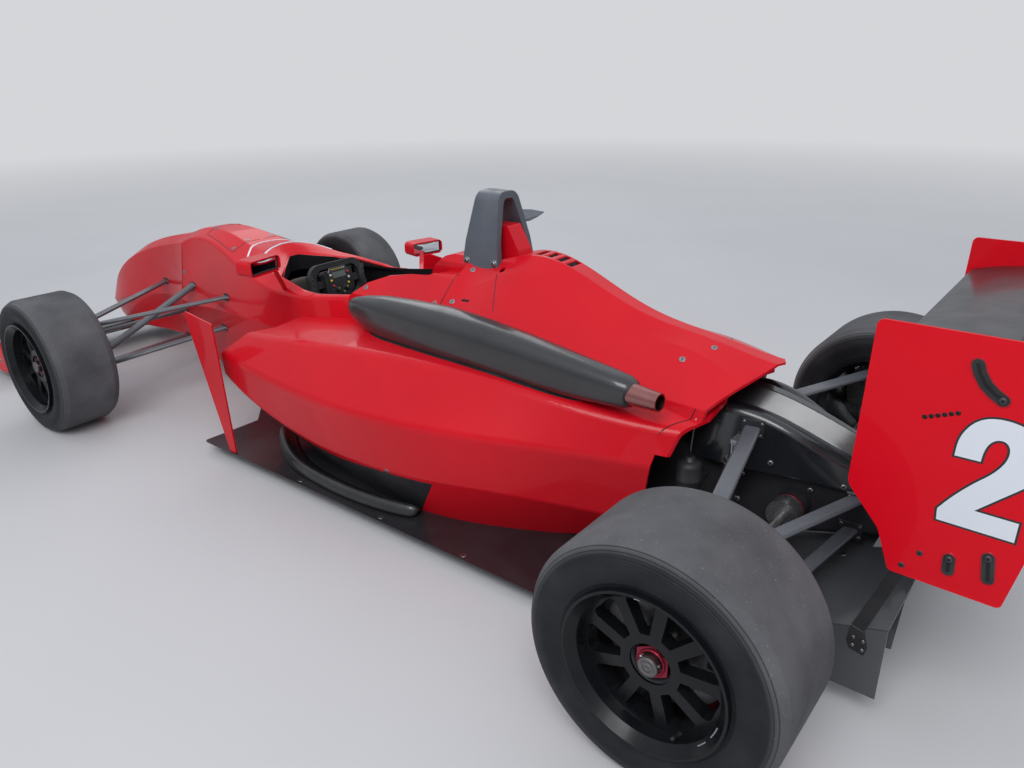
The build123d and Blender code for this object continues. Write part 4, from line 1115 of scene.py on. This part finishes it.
def cowl_section(ex, ey, ez, rx, ry, rz, fx, fy):
    """Closed section of the cowl: edge, face, ridge, flank, foot and underside."""
    edge_z = max(ez, tub_height(ex, ey) + 0.0015)
    ridge_z = max(rz, tub_height(rx, ry) + 0.0015)
    rise = ridge_z - tub_height(rx, ry)
    section = [(ex, ey, tub_height(ex, ey) - 0.005), (ex, ey, edge_z - 0.0035)]
    for share in COWL_FACE:
        lift = share * share * (3 - 2 * share) * 0.4 + share * 0.6
        section.append((ex + (rx - ex) * share, ey + (ry - ey) * share, edge_z + (ridge_z - edge_z) * lift))
    section.append((rx, ry, ridge_z))
    for share in COWL_FLANK:
        x, y = rx + (fx - rx) * share, ry + (fy - ry) * share
        section.append((x, y, tub_height(x, y) + rise * (1 - share) ** 1.45 - 0.0012 * share))
    x, y = (ex + fx) / 2, (ey + fy) / 2
    return section + [(fx, fy, tub_height(fx, fy) - 0.006), (x, y, tub_height(x, y) - 0.008)]


def add_cowl():
    """Smooth cowl in place of the plain lip, with pale strips on its ridge and foot."""
    left = [[MM * value for value in row] for row in drawn_through(COWL, COWL_STEPS)]
    mirror = (1, -1, 1, 1, -1, 1, 1, -1)
    rows = left + [[a * b for a, b in zip(row, mirror)] for row in left[::-1]]
    sections = [cowl_section(*row) for row in rows]
    cowl, pale_strips = Forms(), Forms()
    cowl.rings(sections)
    for i in range(0, len(sections[0]) * (len(sections) - 1), len(sections[0])):
        cowl.slots[i] = 1
    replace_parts(cowl.piece("cockpit_cowl", "red_paint", "seal_black"), "windscreen")
    ridges = [section[2 + len(COWL_FACE)] for section in sections]
    feet = [section[-3] for section in sections]
    # How many sections at each end the pale strips leave bare
    ridge_ends, foot_ends = 6 * COWL_STEPS - 3, 7 * COWL_STEPS - 2
    lean = Vector((0.1, 0, 1)).normalized()
    pale_strips.ribbon([(place, lean) for place in ridges[ridge_ends:-ridge_ends]], 9.5, 1.2, 2)
    feet = [((x, y, tub_height(x, y)), Vector(UP)) for x, y, _ in feet[foot_ends:-foot_ends]]
    pale_strips.ribbon(feet, 9.5, 1.2, 2)
    pale_strips.piece("cowl_pale_strips", "numeral_white")


# Left pad inside the cockpit's front: middle and half sizes
KNEE_PAD = (0.452, 0.098, 0.545)
KNEE_PAD_HALF = (0.016, 0.052, 0.04)


def add_knee_pads():
    x, y, z = KNEE_PAD
    deep, wide, tall = KNEE_PAD_HALF
    for side in SIDES:
        forms = Forms()
        rings = []
        for i in range(17):
            turn = -pi / 2 + pi * i / 16
            grow = max(abs(cos(turn)) ** 0.45, 0.02)
            ring = []
            for k in range(36):
                across, up = superellipse(2 * pi * k / 36, 0.55)
                crown = 1 + 0.1 * (1 - across * across) * (1 - up * up)
                far = deep * sin(turn) * crown
                ring.append((x + far, side * y + wide * across * grow, z + tall * up * grow))
            rings.append(ring)
        forms.rings(rings)
        pad = forms.piece(f"knee_pad_{SIDE_NAME[side]}", "pad_brown")


def lay_strap(forms, path, ahead, width):
    """Flat strap on the seat, under a path that is looked along."""
    hits = []
    for start, end in zip(path, path[1:]):
        for point in between(start, end, 10):
            hit = reach("seat", point, ahead)
            if hit and (not hits or (hit[0] - hits[-1][0]).length > 0.002):
                hits.append(hit)
    forms.ribbon([(place + MM * normal, normal) for place, normal in hits], width, 1.8, 0.8)


def add_harness():
    """Flat shoulder, lap and crotch straps with their buckle on the seat."""
    forms = Forms()
    for side in SIDES:
        shoulder = [(-0.3, side * 0.072, 0.62), (-0.1, side * 0.058, 0.3), (0.02, side * 0.014, 0.16)]
        lay_strap(forms, shoulder, (-0.8, 0, -0.6), 46)
        lay_strap(forms, [(-0.15, side * 0.158, 0.5), (-0.09, side * 0.02, 0.5)], DOWN, 42)
    lay_strap(forms, [(-0.085, 0, 0.5), (0.09, 0, 0.5)], DOWN, 40)
    at = spot(*from_above("seat", -0.095, 0, 0.5), FORWARD)
    forms.lathe(at, [(32, 2), (34, 5), (34, 14), (30, 18), (20, 19.5), (19, 18.5), (4, 19)], 40, 1)
    forms.plate(at, [(-6, -26), (6, -26), (8, 20), (-8, 20)], 18, 22.5, 1, slot=2)
    forms.piece("seat_harness", "belt_black", "steel", "nut_red")


# Lines of the left arms and rods: height at the wheel, and inner end
FRONT_ARMS = [(0.391, (0.795, 0.17, 0.474)), (0.391, (1.51, 0.1, 0.416)), (0.203, (0.865, 0.165, 0.326)),
              (0.203, (1.41, 0.09, 0.148)), (0.238, (1.175, 0.15, 0.458))]
REAR_ARMS = [(0.413, (-1.5, 0.122, 0.482)), (0.413, (-1.79, 0.06, 0.345)), (0.169, (-1.33, 0.06, 0.17)),
             (0.169, (-1.78, 0.04, 0.25))]


def arm_ray(axle, wheel_y, arm, side):
    """Start and way of a ray along an arm, from its wheel inwards."""
    wheel_z, (x, y, z) = arm
    start = Vector((axle[0], side * wheel_y, wheel_z))
    return start, Vector((x, side * y, z)) - start


def add_arm_fittings():
    """Dark slots of painted shade where the front arms enter the tub, and bolted plates at the rear arms'
    ends.
    """
    forms = Forms()
    for side in SIDES:
        for arm in FRONT_ARMS:
            ray = arm_ray(FRONT_AXLE, 0.7, arm, side)
            hit = reach("tub", *ray) or reach("nose_cone", *ray)
            if hit:
                at = spot(*hit)
                forms.plate(at, capsule([(-14, 0), (14, 0)], 15.5), -4, 1.6, 0.8)
                for u in (-22, 22):
                    forms.bolt(shift(at, u, 0, 1.2), 4.4, 3, 1, 2)
        for arm in REAR_ARMS:
            ray = arm_ray(REAR_AXLE, 0.64, arm, side)
            hit = nearest(("gearbox", "gearbox_fairings", "engine_block"), *ray)
            if hit:
                at = spot(*hit, FORWARD)
                forms.plate(at, oblong(24, 30), -3, 5, 1.2, slot=3)
                for u, v in oblong(16, 23):
                    forms.bolt(shift(at, u, v, 5), 4.6, 3.4, 1, 2)
    forms.piece("arm_fittings", "seal_black", "steel", "joint_black_and_hole_shade", "cast_alloy")


# Winglet's rim after its front root, as the way from that root: X, Y, Z
WINGLET = [(0.002, -0.06, 0.004), (-0.008, -0.11, -0.003), (-0.028, -0.156, -0.016),
           (-0.04, -0.105, -0.022), (-0.046, -0.052, -0.027)]


def add_hoop_winglet():
    """Small fin on the hoop's right leg."""
    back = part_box("roll_hoop")[0][0]
    while not from_side("roll_hoop", back, 0.905, -1):
        back += 0.003
    front = from_side("roll_hoop", back + 0.058, 0.918, -1)[0] + Vector((0, 0.004, 0))
    rear = from_side("roll_hoop", back + 0.006, 0.905, -1)[0] + Vector((0, 0.004, -0.01))
    rim = [front] + [front + Vector(way) for way in WINGLET] + [rear]
    middle = sum(rim, Vector()) / len(rim)
    forms = Forms()
    forms.rings([rim, [point + Vector((0, 0, 0.0026)) for point in rim],
                 [point.lerp(middle, 0.1) + Vector((0, 0, 0.0036)) for point in rim]], flat=True)
    for point in (front, rear):
        forms.bolt(spot(point.lerp(middle, 0.22) + Vector((0, 0, 0.0035)), UP, FORWARD), 5.5, 3.5, 1, 2)
    forms.piece("hoop_winglet", "hoop_grey", "steel", "joint_black_and_hole_shade")


def add_wing_details():
    """Gurney strips, endplate bolts and the rear light's lens."""
    forms = Forms()
    for wing, y, height, steps in (("rear_wing", 0.436, 7.5, 24), ("front_wing", 0.78, 6.5, 60)):
        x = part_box(wing)[0][0] + 0.0025
        forms.line(wing, (x, y, OUTSIDE), (x, -y, OUTSIDE), DOWN, 2.2, height, steps)
    rear, front = (corner[0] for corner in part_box("front_endplates"))
    for side in SIDES:
        for share, z in ((0.16, 0.115), (0.34, 0.12), (0.56, 0.098), (0.8, 0.094)):
            hit = from_side("front_endplates", rear + (front - rear) * share, z, side)
            if hit:
                at = spot(*hit)
                forms.lathe(at, [(9.8, -0.6), (9.8, 0.6), (8.6, 1.2)], 24, 1)
                forms.bolt(at, 6.8, 3.6, 1, 2)
    lens = spot((-1.905, 0, 0.29), (-1, 0, 0))
    forms.plate(lens, oblong(32.64, 27.84), -2, 3.5, 1)
    forms.plate(lens, oblong(27.64, 22.84), 1, 6.2, 1.6, slot=3)
    for row in range(4):
        for column in range(5):
            dome = shift(lens, -21.6 + 10.8 * column, -16.5 + 11 * row, 6)
            forms.lathe(dome, [(4.2, -0.4), (3.6, 1), (1.8, 1.7)], 12, 3)
    forms.piece("wing_details", "seal_black", "steel", "joint_black_and_hole_shade", "lamp_red")


def add_cover_seams():
    """Dark joint between the cover and the pods' tails, and the slots by the hoop's feet in black as painted
    shade.
    """
    forms = Forms()
    for side in SIDES:
        names = ("engine_cover", sided("sidepod_left", side))
        points = between((-1.322, side * 0.312, OUTSIDE), (-1.385, side * 0.236, OUTSIDE), 16)
        forms.ribbon([hit for hit in (nearest(names, point, DOWN) for point in points) if hit], 3.4, 0.5, 0.6)
        at = spot(*from_above("engine_cover", -0.556, side * 0.203), LEFT)
        forms.plate(at, capsule([(-12, 0), (12, 0)], 4.2), -1, 0.8, 0.3)
    forms.piece("cover_seams", "joint_black_and_hole_shade")


for add in (add_airbox, add_mouldings, add_bay_pieces, add_cowl, add_knee_pads, add_harness,
            add_arm_fittings, add_hoop_winglet, add_wing_details, add_cover_seams, add_panel_joints,
            add_fasteners, add_endplate_fittings, add_wheel_trim, add_mirror_glass, add_hoop_bolts,
            add_louvre_lips, add_steering_controls, add_damper_detail, add_diffuser_straps):
    add()
